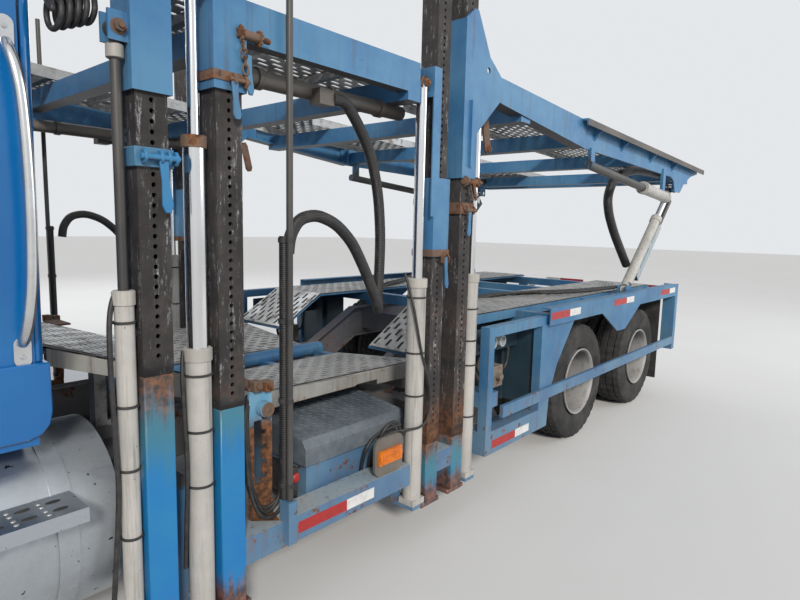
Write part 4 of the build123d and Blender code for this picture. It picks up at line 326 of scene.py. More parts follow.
def stained_post(name, paint_top, rust_share):
    shade = Shade(name)
    drip = shade.noise(7.0, 5.0, 0.65, stretch=(6.0, 6.0, 0.30), shift=2.0)
    fine = shade.noise(40.0, 5.0, 0.7, shift=3.0)
    level = shade.up() + drip * 0.42 - 0.21 + fine * 0.05
    teal = level.step(paint_top - 0.62 * rust_share - 0.10, paint_top - 0.16)
    rusty = level.step(paint_top - 0.34 * rust_share - 0.02, paint_top + 0.01)
    foot = (shade.up() - drip * 0.22).step(0.24, 0.14)
    colour = shade.layers((0.005, 0.150, 0.42), (shade.noise(2.2).step(0.3, 0.7), (0.014, 0.185, 0.40)),
                          (teal * 0.75, (0.055, 0.175, 0.19)),
                          ((rusty + foot).at_most(1.0) * 0.92, rust_colour(shade)))
    return shade.done(colour, rusty * 0.35 + fine * 0.2 + 0.30, bump=(fine * 0.4 + rusty, 0.25, 0.002))


barrel_white = barrel_paint()
rack_metal = rack_paint()
post_front_paint = stained_post("post_front_paint", 1.16, 0.45)
post_rear_paint = stained_post("post_rear_paint", 0.53, 0.35)

# %% [markdown]
# ## Bare metals
# The posts are rolled steel that has gone brown and grey, pitted, with pale
# scuffs where the sleeves rub. Zinc on the runways is dull, with a spangle and
# white bloom. The rods are chromed and only lightly spotted.


# %% Posts, zinc, chrome and tank
def post_steel():
    shade = Shade("post_steel")
    patches = shade.noise(6.0, 6.0, 0.7)
    pits = shade.noise(70.0, 6.0, 0.75, shift=3.0)
    rub = shade.noise(9.0, 8.0, 0.82, stretch=(5.0, 5.0, 0.7), shift=7.0).step(0.54, 0.62)
    low_down = shade.up().step(1.75, 1.15) * 0.10
    brown = (patches * 0.5 + pits * 0.5 + low_down).step(0.60, 0.72) * 0.8
    foot = (shade.up() + patches * 0.25).step(0.93, 0.70) * 0.8
    colour = shade.layers((0.022, 0.020, 0.020), (patches.step(0.3, 0.7), (0.060, 0.054, 0.052)),
                          (pits.step(0.56, 0.66) * 0.6, RUST_DARK), (brown, (0.10, 0.048, 0.028)),
                          (rub * pits.step(0.40, 0.56), (0.36, 0.36, 0.36)), (foot, rust_colour(shade)))
    return shade.done(colour, 0.72 - rub * 0.25 + pits * 0.15, rub * 0.5 + 0.25,
                      (pits * 0.7 + patches * 0.3, 0.35, 0.002))


def zinc():
    shade = Shade("runway_zinc")
    spangle = shade.node("ShaderNodeTexVoronoi", None, {"Vector": shade.place(), "Scale": 55.0})
    bloom = shade.noise(3.2, 6.0, 0.7).step(0.38, 0.68)
    grime = shade.noise(11.0, 7.0, 0.72, shift=5.0).step(0.52, 0.66)
    colour = shade.layers((0.30, 0.30, 0.295), (spangle, (0.40, 0.40, 0.395)),
                          (bloom * 0.6, (0.42, 0.41, 0.385)),
                          (grime * 0.65, (0.16, 0.12, 0.09)))
    return shade.done(colour, 0.42 + bloom * 0.2 + grime * 0.25, 0.75 - bloom * 0.4 - grime * 0.3,
                      (spangle * 0.3 + grime, 0.12, 0.001))


def chrome():
    shade = Shade("rod_chrome")
    haze = shade.noise(14.0, 5.0, 0.7, stretch=(1.0, 1.0, 0.25))
    specks = shade.noise(120.0, 3.0, 0.6, shift=6.0).step(0.70, 0.76)
    colour = shade.layers((0.70, 0.70, 0.71), (haze, (0.82, 0.82, 0.82)), (specks, (0.12, 0.06, 0.03)))
    return shade.done(colour, 0.10 + haze * 0.12 + specks * 0.5, 1 - specks * 0.8)


def brushed_tank():
    shade = Shade("tank_aluminium")
    brush = shade.noise(30.0, 3.0, 0.6, stretch=(0.4, 12.0, 12.0))
    bloom = shade.noise(4.0, 6.0, 0.7).step(0.35, 0.7)
    pits = shade.noise(48.0, 2.0, 0.5, shift=4.0).step(0.70, 0.735)
    colour = shade.layers((0.50, 0.54, 0.58), (bloom, (0.34, 0.36, 0.38)), (pits, (0.035, 0.032, 0.030)))
    return shade.done(colour, 0.26 + brush * 0.18 + bloom * 0.18, 0.95 - bloom * 0.25, (brush, 0.06, 0.001))


post_metal, runway_metal, rod_metal, tank_metal = post_steel(), zinc(), chrome(), brushed_tank()


# %% Rubber, plastic, glass and lamps
def tyre_rubber():
    shade = Shade("tyre_rubber", Specular_IOR_Level=0.25)
    dust = shade.noise(5.0, 6.0, 0.7).step(0.35, 0.7)
    grit = shade.noise(60.0, 4.0, 0.7, shift=3.0)
    colour = shade.layers((0.020, 0.020, 0.021), (dust * 0.55 + grit * 0.12, (0.085, 0.080, 0.075)))
    return shade.done(colour, grit * 0.15 + 0.78, bump=(grit, 0.15, 0.001))


def wrapped_hose():
    """Rubber hose in a wound plastic wrap, which shows as fine ridges round it."""
    shade = Shade("hose_wrap")
    ridges = shade.node("ShaderNodeTexWave", {"bands_direction": "Z"},
                        {"Vector": shade.place(), "Scale": 42.0, "Distortion": 2.0, "Detail": 1.0}, output=1)
    dust = shade.noise(18.0, 5.0, 0.7).step(0.45, 0.75)
    colour = shade.layers((0.010, 0.010, 0.011), (dust * 0.6 + ridges * 0.15, (0.055, 0.050, 0.045)))
    return shade.done(colour, dust * 0.3 + 0.48, bump=(ridges, 0.5, 0.002))


def window_glass():
    shade = Shade("window_glass", Transmission_Weight=0.9, IOR=1.45, Alpha=0.55)
    dust = shade.noise(7.0, 5.0, 0.7).step(0.45, 0.75)
    return shade.done(shade.layers((0.50, 0.58, 0.60), (dust * 0.4, (0.40, 0.38, 0.34))), dust * 0.2 + 0.03)


def plain(name, colour, worn, gloss, scale=12.0, bump=0.1, **sockets):
    """A moulded or rubber finish with mild wear."""
    shade = Shade(name, **sockets)
    wear = shade.noise(scale, 5.0, 0.7)
    return shade.done(shade.layers(colour, (wear.step(0.35, 0.72), worn)), wear * 0.22 + gloss,
                      bump=(wear, bump, 0.001))


tyre_black, hose_wrap, glass = tyre_rubber(), wrapped_hose(), window_glass()
hose_black = plain("hose_black", (0.012, 0.012, 0.013), (0.04, 0.038, 0.035), 0.42, 30.0, 0.2)
trim_black = plain("trim_black", (0.018, 0.018, 0.020), (0.045, 0.043, 0.040), 0.55)
lid_grey = plain("lid_grey", (0.075, 0.095, 0.115), (0.15, 0.17, 0.19), 0.5, 6.0, 0.15)
seat_cloth = plain("seat_cloth", (0.045, 0.05, 0.06), (0.08, 0.08, 0.085), 0.8, 140.0, 0.4)
bright_trim = plain("bright_trim", (0.72, 0.73, 0.74), (0.60, 0.60, 0.60), 0.12, 9.0, 0.03, Metallic=1.0)
lens_clear = plain("lens_clear", (0.78, 0.80, 0.80), (0.66, 0.67, 0.66), 0.08, 20.0, 0.05,
                   Transmission_Weight=0.35)
lens_amber = plain("lens_amber", (0.80, 0.22, 0.012), (0.62, 0.15, 0.01), 0.14, 20.0, 0.05,
                   Transmission_Weight=0.2)
lens_red = plain("lens_red", (0.55, 0.012, 0.010), (0.40, 0.01, 0.01), 0.14, 20.0, 0.05)
tape_red = plain("tape_red", (0.40, 0.018, 0.018), (0.26, 0.025, 0.022), 0.3, 25.0, 0.05)
tape_white = plain("tape_white", (0.66, 0.66, 0.65), (0.50, 0.49, 0.47), 0.3, 25.0, 0.05)
print("materials", len(bpy.data.materials))

# %% [markdown]
# ## Dressing the CAD solids
# Each CAD solid keeps its mesh and gets its material, a thin bevel so that its
# edges catch the light, and smooth shading that breaks at real edges.

# %% Give every node its material
FINISH = {
    "cab_paint": cab_blue, "box_paint": frame_blue, "frame_paint": frame_blue, "bare_steel": post_metal,
    "cylinder_paint": barrel_white, "rod_chrome": rod_metal, "runway_zinc": runway_metal,
    "tank_metal": tank_metal, "axle_iron": iron_black, "wheel_steel": wheel_paint, "tyre_rubber": tyre_black,
    "window": glass, "lens": lens_clear, "amber": lens_amber, "black_trim": trim_black,
    "grille_metal": bright_trim, "lid_plastic": lid_grey, "hose_rubber": hose_wrap,
}
SPECIAL = {
    "chassis_frame": chassis_blue, "tow_stinger": iron_black, "seats": seat_cloth, "mid_deck": beam_blue,
    "rear_deck": beam_blue, "head_deck": beam_blue, "rear_carriages": beam_blue, "oil_tank": frame_blue,
    "front_bumper": bright_trim, "head_deck_rods": rod_dull,
}
# The slot of each material, by its name, for new pieces; nothing below reads this table
SLOT_OF = {material.name: slot for slot, material in FINISH.items()}
SLOT_OF.update({
    "post_blue": "frame_paint", "post_front_paint": "frame_paint", "post_rear_paint": "frame_paint",
    "box_inside": "frame_paint", "fascia_pale": "runway_zinc", "ivory_paint": "cylinder_paint",
    "iron_rusty": "axle_iron", "flange_pale": "axle_iron", "rod_dull": "axle_iron", "tape_red": "cab_paint",
    "tape_white": "cab_paint", "lens_red": "cab_paint",
})
BEVEL_WIDTH = 0.003
SHARP_ANGLE = math.radians(34)
NO_BEVEL = ("window", "tyre_rubber")


def soften(obj, width):
    """Smooth shading that breaks at real edges, and a thin bevel on those."""
    mesh = obj.data
    mesh.polygons.foreach_set("use_smooth", [True] * len(mesh.polygons))
    mesh.set_sharp_from_angle(angle=SHARP_ANGLE)
    if width:
        bevel = obj.modifiers.new("edge", "BEVEL")
        bevel.width = width
        bevel.segments = 1
        bevel.limit_method = "ANGLE"
        bevel.angle_limit = SHARP_ANGLE
        bevel.harden_normals = False


for entry in frame["record"]["subparts"]:
    name, slot = entry["node"], entry["material_slot"]
    nodes[name].data.materials.clear()
    nodes[name].data.materials.append(SPECIAL.get(name, FINISH[slot]))
    soften(nodes[name], 0 if slot in NO_BEVEL else BEVEL_WIDTH)

# %% [markdown]
# ## Shapes in mesh code
# Most of the small pieces are flats, bars, rods and plates with holes. One
# class gathers such shapes in a mesh, and its last call makes the piece, gives
# it a material and lets it ride on its body. The truck's two sides are alike,
# so a piece is drawn for the right side only, and mirrored for the left.

# %% Sides and names
SIDES = (-1, 1)
SIDE_NAME = {-1: "left", 0: "", 1: "right"}


def sided(text, side):
    """A name whose star stands for left or right."""
    return text.replace("*", SIDE_NAME[side])


def settle(obj, body):
    """Lets a new piece ride on its body."""
    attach(obj, body)
    return obj


# %% A mesh under construction
class Build:
    """Shapes gathered in one mesh, in metres in the truck's frame, drawn for the right side."""

    def __init__(self, side=0):
        self.bm = bmesh.new()
        self.side = side

    def face(self, *corners):
        self.bm.faces.new([self.bm.verts.new(corner) for corner in corners])

    def shell(self, rings, closed=False):
        """Quads between rings of equally many points. The ends are filled, or joined where closed."""
        loops = [[self.bm.verts.new(point) for point in ring] for ring in rings]
        for first, second in zip(loops, loops[1:] + loops[:closed]):
            for (a, b), (c, d) in zip(around(first), around(second)):
                self.bm.faces.new((a, b, d, c))
        if not closed:
            self.bm.faces.new(loops[0][::-1])
            self.bm.faces.new(loops[-1])

    def block(self, low, high):
        (x0, y0, z0), (x1, y1, z1) = low, high
        outline = [(x0, y0), (x1, y0), (x1, y1), (x0, y1)]
        self.shell([[(x, y, z) for x, y in outline] for z in (z0, z1)])

    def rod(self, start, end, radius, sides=16, end_radius=None):
        start, end = Vector(start), Vector(end)
        # The facets of a left rod are set by its own direction, not by the right one's
        mirror = Vector((1, self.side or 1, 1))
        axis = ((end - start) * mirror).normalized()
        across = axis.orthogonal().normalized()
        other = axis.cross(across)
        self.shell([[centre + (across * c + other * s) * mirror * size for c, s in circle(sides)]
                    for centre, size in ((start, radius), (end, end_radius or radius))])

    def flat(self, outline, y0, y1):
        """A plate with an outline in X and Z, between two values of Y."""
        self.shell([[(x, y, z) for x, z in outline] for y in (y0, y1)])

    def turned(self, profile, centre, sides=32, axis="Y"):
        """A ring turned from (along, radius) points about an axis through centre."""
        order = {"X": (0, 1, 2), "Y": (1, 0, 2), "Z": (1, 2, 0)}[axis]
        rings = [[(along, c, s) for c, s in circle(sides, radius)] for along, radius in profile]
        self.shell([[Vector(centre) + Vector([point[k] for k in order]) for point in ring] for ring in rings])

    def lathe(self, profile, centre, sides):
        """A ring turned about Y from a closed profile of (along, radius) points."""
        x, y, z = centre
        self.shell([[(x + radius * c, y + along, z + radius * s) for along, radius in profile]
                    for c, s in circle(sides, 1.0, 0.5)], closed=True)

    def nut(self, place, radius=0.016, height=0.012):
        """A hexagon nut that faces out, with a stub of its stud."""
        place, out = Vector(place), Vector((0, height, 0))
        self.rod(place, place + out, radius, 6)
        self.rod(place + out, place + out * 1.5, radius * 0.5, 8)

    def mirror(self):
        """Adds the left side's copy of all that was drawn."""
        everything = self.bm.verts[:] + self.bm.edges[:] + self.bm.faces[:]
        copy = bmesh.ops.duplicate(self.bm, geom=everything)["geom"]
        for vertex in copy:
            if isinstance(vertex, bmesh.types.BMVert):
                vertex.co.y = -vertex.co.y

    def finish(self, name, material, body="truck", bevel=0.0, slot=None, outward=None):
        """Makes the piece. outward may give the normal that a face at a place should have."""
        if self.side < 0:
            for vertex in self.bm.verts:
                vertex.co.y = -vertex.co.y
        bmesh.ops.remove_doubles(self.bm, verts=self.bm.verts, dist=1e-6)
        bmesh.ops.recalc_face_normals(self.bm, faces=self.bm.faces)
        self.bm.normal_update()
        for face in self.bm.faces if outward else ():
            wanted = outward(face.calc_center_median())
            if wanted is not None and face.normal.dot(wanted) < -0.5:
                face.normal_flip()
        mesh = bpy.data.meshes.new(sided(name, self.side))
        self.bm.to_mesh(mesh)
        self.bm.free()
        mesh.materials.append(material)
        obj = add_object(mesh.name, mesh)
        soften(obj, bevel)
        print(obj.name, len(mesh.polygons), "faces")
        return settle(obj, sided(body, self.side))


block, rod, flat, turned, nut = Build.block, Build.rod, Build.flat, Build.turned, Build.nut


def assemble(name, material, body, bevel, *shapes, slot=None):
    """The same piece on both sides. Each shape is a tool and what it is called with."""
    for side in SIDES:
        build = Build(side)
        for tool, *values in shapes:
            tool(build, *values)
        build.finish(name, material, body, bevel, slot)


def hoses(name, radius, points, body="truck", material=hose_black):
    """A held hose on each side: a smooth spline through given control points."""
    made = []
    for side in SIDES:
        curve = bpy.data.curves.new(sided(name, side), "CURVE")
        curve.dimensions = "3D"
        curve.bevel_depth = radius
        curve.bevel_resolution = 3
        curve.resolution_u = 10
        curve.use_fill_caps = True
        spline = curve.splines.new("NURBS")
        spline.points.add(len(points) - 1)
        for point, (x, y, z) in zip(spline.points, points):
            point.co = (x, side * y, z, 1.0)
        spline.order_u = 3
        spline.use_endpoint_u = True
        curve.materials.append(material)
        made.append(settle(add_object(curve.name, curve), body))
    return made


# %% [markdown]
# ## The posts and their pin holes
# Each post is a square tube, drilled every 32 mm for the lock pins. The CAD
# solid holds every second hole. Here the faces are built from square cells,
# each with its round hole, so the whole ladder of holes is real geometry.

# %% Drilled posts
BUMPER_X = -4.7
POST_X = [BUMPER_X + s for s in (3.208, 3.480, 4.685, 4.915)]
POST_FIRST_HOLE = [1.214, 1.034, 0.640, 0.640]
POST_PAINT_TOP = [1.15, 0.98, 0.52, 0.50]
POST_OUTER_Y, POST_SIZE, POST_WALL = 1.250, 0.102, 0.009
POST_INNER_Y, POST_HALF = POST_OUTER_Y - POST_SIZE, POST_SIZE / 2
POST_MIDDLE_Y = POST_OUTER_Y - POST_HALF
POST_FOOT_Z, POST_TOP_Z = 0.200, 3.050
HOLE_PITCH, HOLE_RADIUS, HOLE_SIDES = 0.032, 0.008, 12


def drilled_face(build, x, ys, z0, first_hole):
    """One wall of a post, between two values of Y, with its ladder of holes."""
    strip = HOLE_PITCH / 2
    count = int((POST_TOP_Z - first_hole - 0.03) / HOLE_PITCH)

    def sheets(x0, z_low, x1, z_high):
        for y in ys:
            build.face((x0, y, z_low), (x1, y, z_low), (x1, y, z_high), (x0, y, z_high))

    sheets(x - POST_HALF, z0, x + POST_HALF, first_hole - strip)
    sheets(x - POST_HALF, first_hole + count * HOLE_PITCH + strip, x + POST_HALF, POST_TOP_Z)
    for z in (first_hole + index * HOLE_PITCH for index in range(count + 1)):
        sheets(x - POST_HALF, z - strip, x - strip, z + strip)
        sheets(x + strip, z - strip, x + POST_HALF, z + strip)
        ring = [(c, s, strip / max(abs(c), abs(s))) for c, s in circle(HOLE_SIDES, 1.0, 0.5)]
        square = [(x + c * reach, z + s * reach) for c, s, reach in ring]
        hole = [(x + c * HOLE_RADIUS, z + s * HOLE_RADIUS) for c, s, _ in ring]
        for (a, b), (c, d) in zip(around(square), around(hole)):
            for y in ys:
                build.face(*((px, y, pz) for px, pz in (a, b, d, c)))
            build.face((c[0], ys[0], c[1]), (d[0], ys[0], d[1]), (d[0], ys[1], d[1]), (c[0], ys[1], c[1]))


def drilled_post(build, x, z0, first_hole):
    """A square tube of two drilled walls and two plain ones."""
    drilled_face(build, x, (POST_OUTER_Y, POST_OUTER_Y - POST_WALL), z0, first_hole)
    drilled_face(build, x, (POST_INNER_Y, POST_INNER_Y + POST_WALL), z0, first_hole)
    for x0 in (x - POST_HALF, x + POST_HALF - POST_WALL):
        build.block((x0, POST_INNER_Y + POST_WALL, z0),
                    (x0 + POST_WALL, POST_OUTER_Y - POST_WALL, POST_TOP_Z))
    for y in (POST_OUTER_Y - POST_WALL, POST_INNER_Y):
        # From left to right on the truck, on both of its sides
        y0, y1 = (y, y + POST_WALL)[::build.side]
        for edge_x in (x - POST_HALF, x + POST_HALF):
            build.face((edge_x, y0, z0), (edge_x, y1, z0), (edge_x, y1, POST_TOP_Z), (edge_x, y0, POST_TOP_Z))


def wall_outward(centre):
    """The way a post's wall faces, told from which of the four planes it lies in."""
    for plane, way in ((POST_OUTER_Y, 1), (POST_OUTER_Y - POST_WALL, -1),
                       (POST_INNER_Y + POST_WALL, 1), (POST_INNER_Y, -1)):
        if abs(abs(centre.y) - plane) < 1e-4:
            return Vector((0, way if centre.y > 0 else -way, 0))
    return None


for pair, picked, paint, collar_x, collar_z, collar_paint in (
        ("front", (0, 1), post_front_paint, POST_X[0], 1.810, frame_blue),
        ("rear", (2, 3), post_rear_paint, POST_X[3], 1.720, iron_rusty)):
    reach = POST_HALF + 0.012
    for side in SIDES:
        tubes, bases = Build(side), Build(side)
        for k in picked:
            x, top = POST_X[k], POST_PAINT_TOP[k]
            drilled_post(tubes, x, top, POST_FIRST_HOLE[k])
            bases.block((x - POST_HALF, POST_INNER_Y, POST_FOOT_Z), (x + POST_HALF, POST_OUTER_Y, top))
            bases.block((x - 0.075, POST_INNER_Y - 0.02, POST_FOOT_Z - 0.025),
                        (x + 0.075, POST_OUTER_Y, POST_FOOT_Z))
        tubes = tubes.finish(f"posts_{pair}_*_drilled", post_metal, outward=wall_outward)
        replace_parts(tubes, "lift_posts")
        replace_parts(bases.finish(f"posts_{pair}_*_bases", paint, bevel=0.004), "lift_posts")
    assemble(f"posts_{pair}_*_collar", collar_paint, "truck", 0.003,
             (block, (collar_x - reach, POST_MIDDLE_Y - reach, collar_z),
              (collar_x + reach, POST_MIDDLE_Y + reach, collar_z + 0.06)),
             *[(nut, (collar_x + off, POST_OUTER_Y + 0.012, collar_z + 0.03), 0.011, 0.008)
               for off in (-0.03, 0.03)],
             slot="axle_iron")

# %% [markdown]
# ## Slotted runways
# A car's wheels roll on plates with raised slots, which let water and mud fall
# through. The plate is a grid of cells, each with a long slot cut in it, and
# every second row is shifted by half a cell.

# %% Slotted plates
CELL_LENGTH, CELL_WIDTH = 0.095, 0.050
SLOT_HALF_LENGTH, SLOT_HALF_WIDTH = 0.031, 0.011
SLOT_STRAIGHT = SLOT_HALF_LENGTH - SLOT_HALF_WIDTH * 0.55
PLATE_THICKNESS = 0.005
EDGE, LIP_DEPTH = 0.006, 0.060


def slotted_plate(build, x0, run, heights, y0, y1):
    """A plate from x0 over run, between y0 and y1; heights are those of its two ends."""
    rows, columns = max(1, round((y1 - y0) / CELL_WIDTH)), max(2, round(run / CELL_LENGTH))
    width, length = (y1 - y0) / rows, run / columns

    def lift(point, drop):
        x, y = point
        return (x, y, heights[0] + (heights[1] - heights[0]) * (x - x0) / run - drop)

    def cell(x_low, x_high, y_low, cut):
        x, y, y_high = (x_low + x_high) / 2, y_low + width / 2, y_low + width
        outer = [(x_low, y_low), (x, y_low), (x_high, y_low), (x_high, y),
                 (x_high, y_high), (x, y_high), (x_low, y_high), (x_low, y)]
        if not cut:
            for drop in (0, PLATE_THICKNESS):
                build.face(*(lift(point, drop) for point in outer))
            return
        inner = [(x - SLOT_STRAIGHT, y - SLOT_HALF_WIDTH), (x, y - SLOT_HALF_WIDTH),
                 (x + SLOT_STRAIGHT, y - SLOT_HALF_WIDTH), (x + SLOT_HALF_LENGTH, y),
                 (x + SLOT_STRAIGHT, y + SLOT_HALF_WIDTH), (x, y + SLOT_HALF_WIDTH),
                 (x - SLOT_STRAIGHT, y + SLOT_HALF_WIDTH), (x - SLOT_HALF_LENGTH, y)]
        for (a, b), (c, d) in zip(around(outer), around(inner)):
            for drop in (0, PLATE_THICKNESS):
                build.face(*(lift(point, drop) for point in (a, b, d, c)))
            build.face(lift(c, 0), lift(d, 0), lift(d, PLATE_THICKNESS), lift(c, PLATE_THICKNESS))

    for row in range(rows):
        y_low = y0 + row * width
        # The rows are counted from the same edge of the truck on both sides
        shifted = (row if build.side > 0 else rows - 1 - row) % 2
        shift = length / 2 * shifted
        if shifted:
            cell(x0, x0 + shift, y_low, False)
            cell(x0 + run - shift, x0 + run, y_low, False)
        for column in range(columns - shifted):
            cell(x0 + shift + column * length, x0 + shift + (column + 1) * length, y_low, True)


UPPER_RUNWAYS = [
    # node, body, first x, run, height at each end, inner y, outer y
    ("head_runways", "head_deck", BUMPER_X + 0.760, 2.328, (2.730, 2.730), 0.450, 1.050),
    ("mid_runways", "mid_deck", BUMPER_X + 3.385, 1.545, (2.470, 2.370), 0.550, 1.100),
    ("rear_runways", "rear_deck", BUMPER_X + 5.310, 4.050, (2.462, 2.318), 0.450, 1.080),
]
for node_name, body, x0, run, (z0, z1), inner, outer in UPPER_RUNWAYS:
    for side in SIDES:
        plate = Build(side)
        slotted_plate(plate, x0, run, (z0, z1), inner + EDGE, outer - EDGE)
        for y in (inner, outer - EDGE):
            plate.flat([(x0, z0), (x0 + run, z1), (x0 + run, z1 - LIP_DEPTH), (x0, z0 - LIP_DEPTH)], y,
                       y + EDGE)
        for share in (0.12, 0.37, 0.63, 0.88):
            x, z = x0 + run * share, z0 + (z1 - z0) * share - PLATE_THICKNESS
            plate.block((x - 0.02, inner + EDGE, z - 0.035), (x + 0.02, outer - EDGE, z - 0.001))
        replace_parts(plate.finish(f"{node_name}_*", runway_metal, body), node_name)

# %% [markdown]
# ## One node, several finishes
# A welded frame carries pieces of other metals: a rusted rack, a chromed stage,
# a pale top flange. Their faces are picked by where their centres lie, and each
# picked face points to one more material in the node's list. Some faces are
# painted black as painted shade: the deck plates under the slotted sheets, and
# the upright faces along the rear beam's lower edge.


# %% Repaint parts of CAD nodes
def repaint(name, material, chosen):
    """Gives the faces that chosen accepts another material; it is given a centre and a normal."""
    mesh = nodes[name].data
    mesh.materials.append(material)
    picked = [face for face in mesh.polygons if chosen(face.center, face.normal)]
    for face in picked:
        face.material_index = len(mesh.materials) - 1
    print("repainted", name, len(picked), "faces")


def within(low, high):
    """A test for centres inside a box given by x, |y| and z."""
    return lambda c, n: all(a <= v <= b for a, v, b in zip(low, (c.x, abs(c.y), c.z), high))


STAY_START, STAY_END = Vector((1.785, 0, 2.127)), Vector((3.615, 0, 1.990))
ARM_BASE, ARM_EYE = Vector((2.915, 0, 1.130)), Vector((4.015, 0, 2.100))


def near_stay(from_share, to_share):
    """A test for centres on the stay cylinder between two shares of its length."""
    line = STAY_END - STAY_START

    def test(c, n):
        place = Vector((c.x, 0, c.z)) - STAY_START
        share = place.dot(line) / line.length_squared
        off = (place - line * share).length
        return from_share <= share <= to_share and math.hypot(off, abs(c.y) - 1.234) < 0.058

    return test


def beside_arm(c, n):
    """A test for the guide and its links, which lie off the arm's own line."""
    along = (ARM_EYE - ARM_BASE).normalized()
    return abs((Vector((c.x, 0, c.z)) - ARM_BASE).dot(Vector((-along.z, 0, along.x)))) > 0.054


def under_rear_beam(c, n):
    """A test for the upright faces of the rear beam's lower edge."""
    beam_bottom = 2.486 - (c.x - 1.615) * 0.0476 - 0.16
    return c.x > 1.66 and abs(c.y) > 1.24 and n.z > -0.2 and abs(n.y) > 0.5 and c.z > beam_bottom


STAGE_X = POST_X[1] - 0.114
for name, material, chosen in (
        ("side_frames", flange_pale, lambda c, n: n.z > 0.9 and abs(c.z - 0.45) < 0.003),
        ("side_frames", rack_metal, within((-1.08, 1.120, 0.44), (-0.96, 1.19, 1.0))),
        ("side_frames", pipe_grey, within((-0.45, 1.225, 0.452), (-0.24, 1.242, 0.70))),
        ("side_frames", rod_dull, within((-0.985, 1.24, 0.56), (-0.955, 1.28, 2.95))),
        ("lift_barrels", rod_metal, within((STAGE_X - 0.037, 1.1, 1.217), (STAGE_X + 0.037, 1.3, 1.889))),
        ("lift_barrels", iron_rusty, within((STAGE_X - 0.05, 1.1, 1.885), (STAGE_X + 0.05, 1.3, 1.94))),
        ("mid_deck_rods", iron_rusty, within((-0.2, 1.1, 2.295), (-0.1, 1.3, 2.4))),
        ("mid_deck", pipe_grey, within((-1.2, 0.99, 2.15), (0, 1.10, 2.256))),
        ("mid_deck", iron_black, within((-0.72, 1.06, 2.14), (-0.62, 1.15, 2.217))),
        # The top of the front deck plate under the slotted sheet is painted black: painted shade seen through
        # the slots
        ("lower_front_deck", trim_black, lambda c, n: n.z > 0.7 and 0.20 < abs(c.y) < 0.90 and c.z > 0.77),
        ("lower_front_deck", fascia_pale, lambda c, n: abs(abs(c.y) - 0.90) < 0.016),
        ("lower_front_deck", frame_blue, within((-2, 0, 0), (1, 0.19, 0.9))),
        # The same for the rear deck plate: painted black as painted shade seen through the slots
        ("lower_rear_deck", trim_black, lambda c, n: n.z > 0.7 and 0.46 < abs(c.y) < 1.015 and c.z > 0.86),
        ("mudflaps", tyre_black, lambda c, n: True),
        ("rear_deck", rod_dull, near_stay(0.0, 0.639)),
        ("rear_deck", barrel_white, near_stay(0.639, 1.01)),
        # The rear beam's upright outer faces are painted black: painted shade of the web under the deck's
        # overhang
        ("rear_deck", iron_black, under_rear_beam),
        ("rear_arm_barrel_left", flange_pale, beside_arm),
        ("rear_arm_rod_left", rod_dull, beside_arm),
        ("rear_arm_barrel_right", flange_pale, beside_arm),
        ("rear_arm_rod_right", rod_dull, beside_arm)):
    repaint(name, material, chosen)

# %% [markdown]
# ## Slotted sheets on the lower decks
# The lower decks are closed plates in CAD. A thin slotted sheet lies on each,
# and the top of the plate under it is painted black as painted shade, so the
# slots read as holes. The near edge carries a pale bent strip that ends in a
# round nose.

# %% Lower deck sheets
SHEET_LIFT = 0.0062
# x, height at the outer edge, height at the inner edge
FRONT_DECK = [(-1.705, 1.215, 1.140), (-0.785, 0.885, 0.800), (0.290, 0.855, 0.785)]
FRONT_INNER, FRONT_OUTER = 0.195, 0.899
REAR_DECK_TOP = 1.1 + SHEET_LIFT
NOSE_X, NOSE_Z, NOSE_RADIUS = -0.246, 0.838, 0.030


def tilted_sheet(build, start, end):
    """A slotted sheet between two stations whose outer and inner heights differ."""
    (x0, outer0, inner0), (x1, outer1, inner1) = start, end
    before = len(build.bm.verts)
    slotted_plate(build, x0, x1 - x0, (0.0, 0.0), FRONT_INNER, FRONT_OUTER)
    build.bm.verts.ensure_lookup_table()
    for vertex in build.bm.verts[before:]:
        along = (vertex.co.x - x0) / (x1 - x0)
        across = (vertex.co.y - FRONT_INNER) / (FRONT_OUTER - FRONT_INNER)
        outer, inner = outer0 + (outer1 - outer0) * along, inner0 + (inner1 - inner0) * along
        vertex.co.z += inner + (outer - inner) * across + SHEET_LIFT


assemble("front_deck_sheet_*", runway_metal, "truck", 0,
         *[(tilted_sheet, start, end) for start, end in zip(FRONT_DECK, FRONT_DECK[1:])])
nose = [(NOSE_X - NOSE_RADIUS * (1 - math.cos(turn)), NOSE_Z + NOSE_RADIUS * math.sin(turn))
        for turn in (math.pi * (k / 10 - 0.5) for k in range(11))]
assemble("front_deck_strip_*", fascia_pale, "truck", 0.004,
         (flat, [(-0.80, 0.888), (-1.30, 1.068), (-1.30, 0.968), (-0.80, 0.808)] + nose, 0.899, 0.926),
         (flat, [(-0.36, 0.872), (-0.36, 0.808), (-0.08, 0.808), (-0.08, 0.780), (0.288, 0.768),
                 (0.288, 0.858)],
          0.899, 0.908))
assemble("rear_deck_sheet_*", runway_metal, "truck", 0,
         (slotted_plate, 0.701, 3.288, (REAR_DECK_TOP, REAR_DECK_TOP), 0.456, 1.014),
         (slotted_plate, 0.322, 0.378, (0.8715 + SHEET_LIFT, REAR_DECK_TOP), 0.456, 1.014))

# %% [markdown]
# ## Lock gear on the posts
# Each sleeve is locked with a pin that a hanging handle draws out. The handles
# are blue plates on a cross pin between two ears. The sleeves end in a rusted
# band, and on two posts a small winch with a chain and hook hangs beside it.


# %% Handles, bands, winches and chains
def handle(build, x, y, z, length, width=0.015, lean=0.0):
    """A flat handle that hangs from its pin, waisted, with a rounded foot."""
    right_edge = [(width, -0.012), (width * 0.75 + lean * 0.4, length * 0.4),
                  (width * 1.15 + lean * 0.9, length * 0.85), (width * 0.6 + lean, length)]
    left_edge = [(-width * 0.6 + lean, length), (-width * 1.15 + lean * 0.9, length * 0.85),
                 (-width * 0.75 + lean * 0.4, length * 0.4), (-width, -0.012)]
    build.flat([(x + across, z - down) for across, down in right_edge + left_edge], y, y + 0.009)


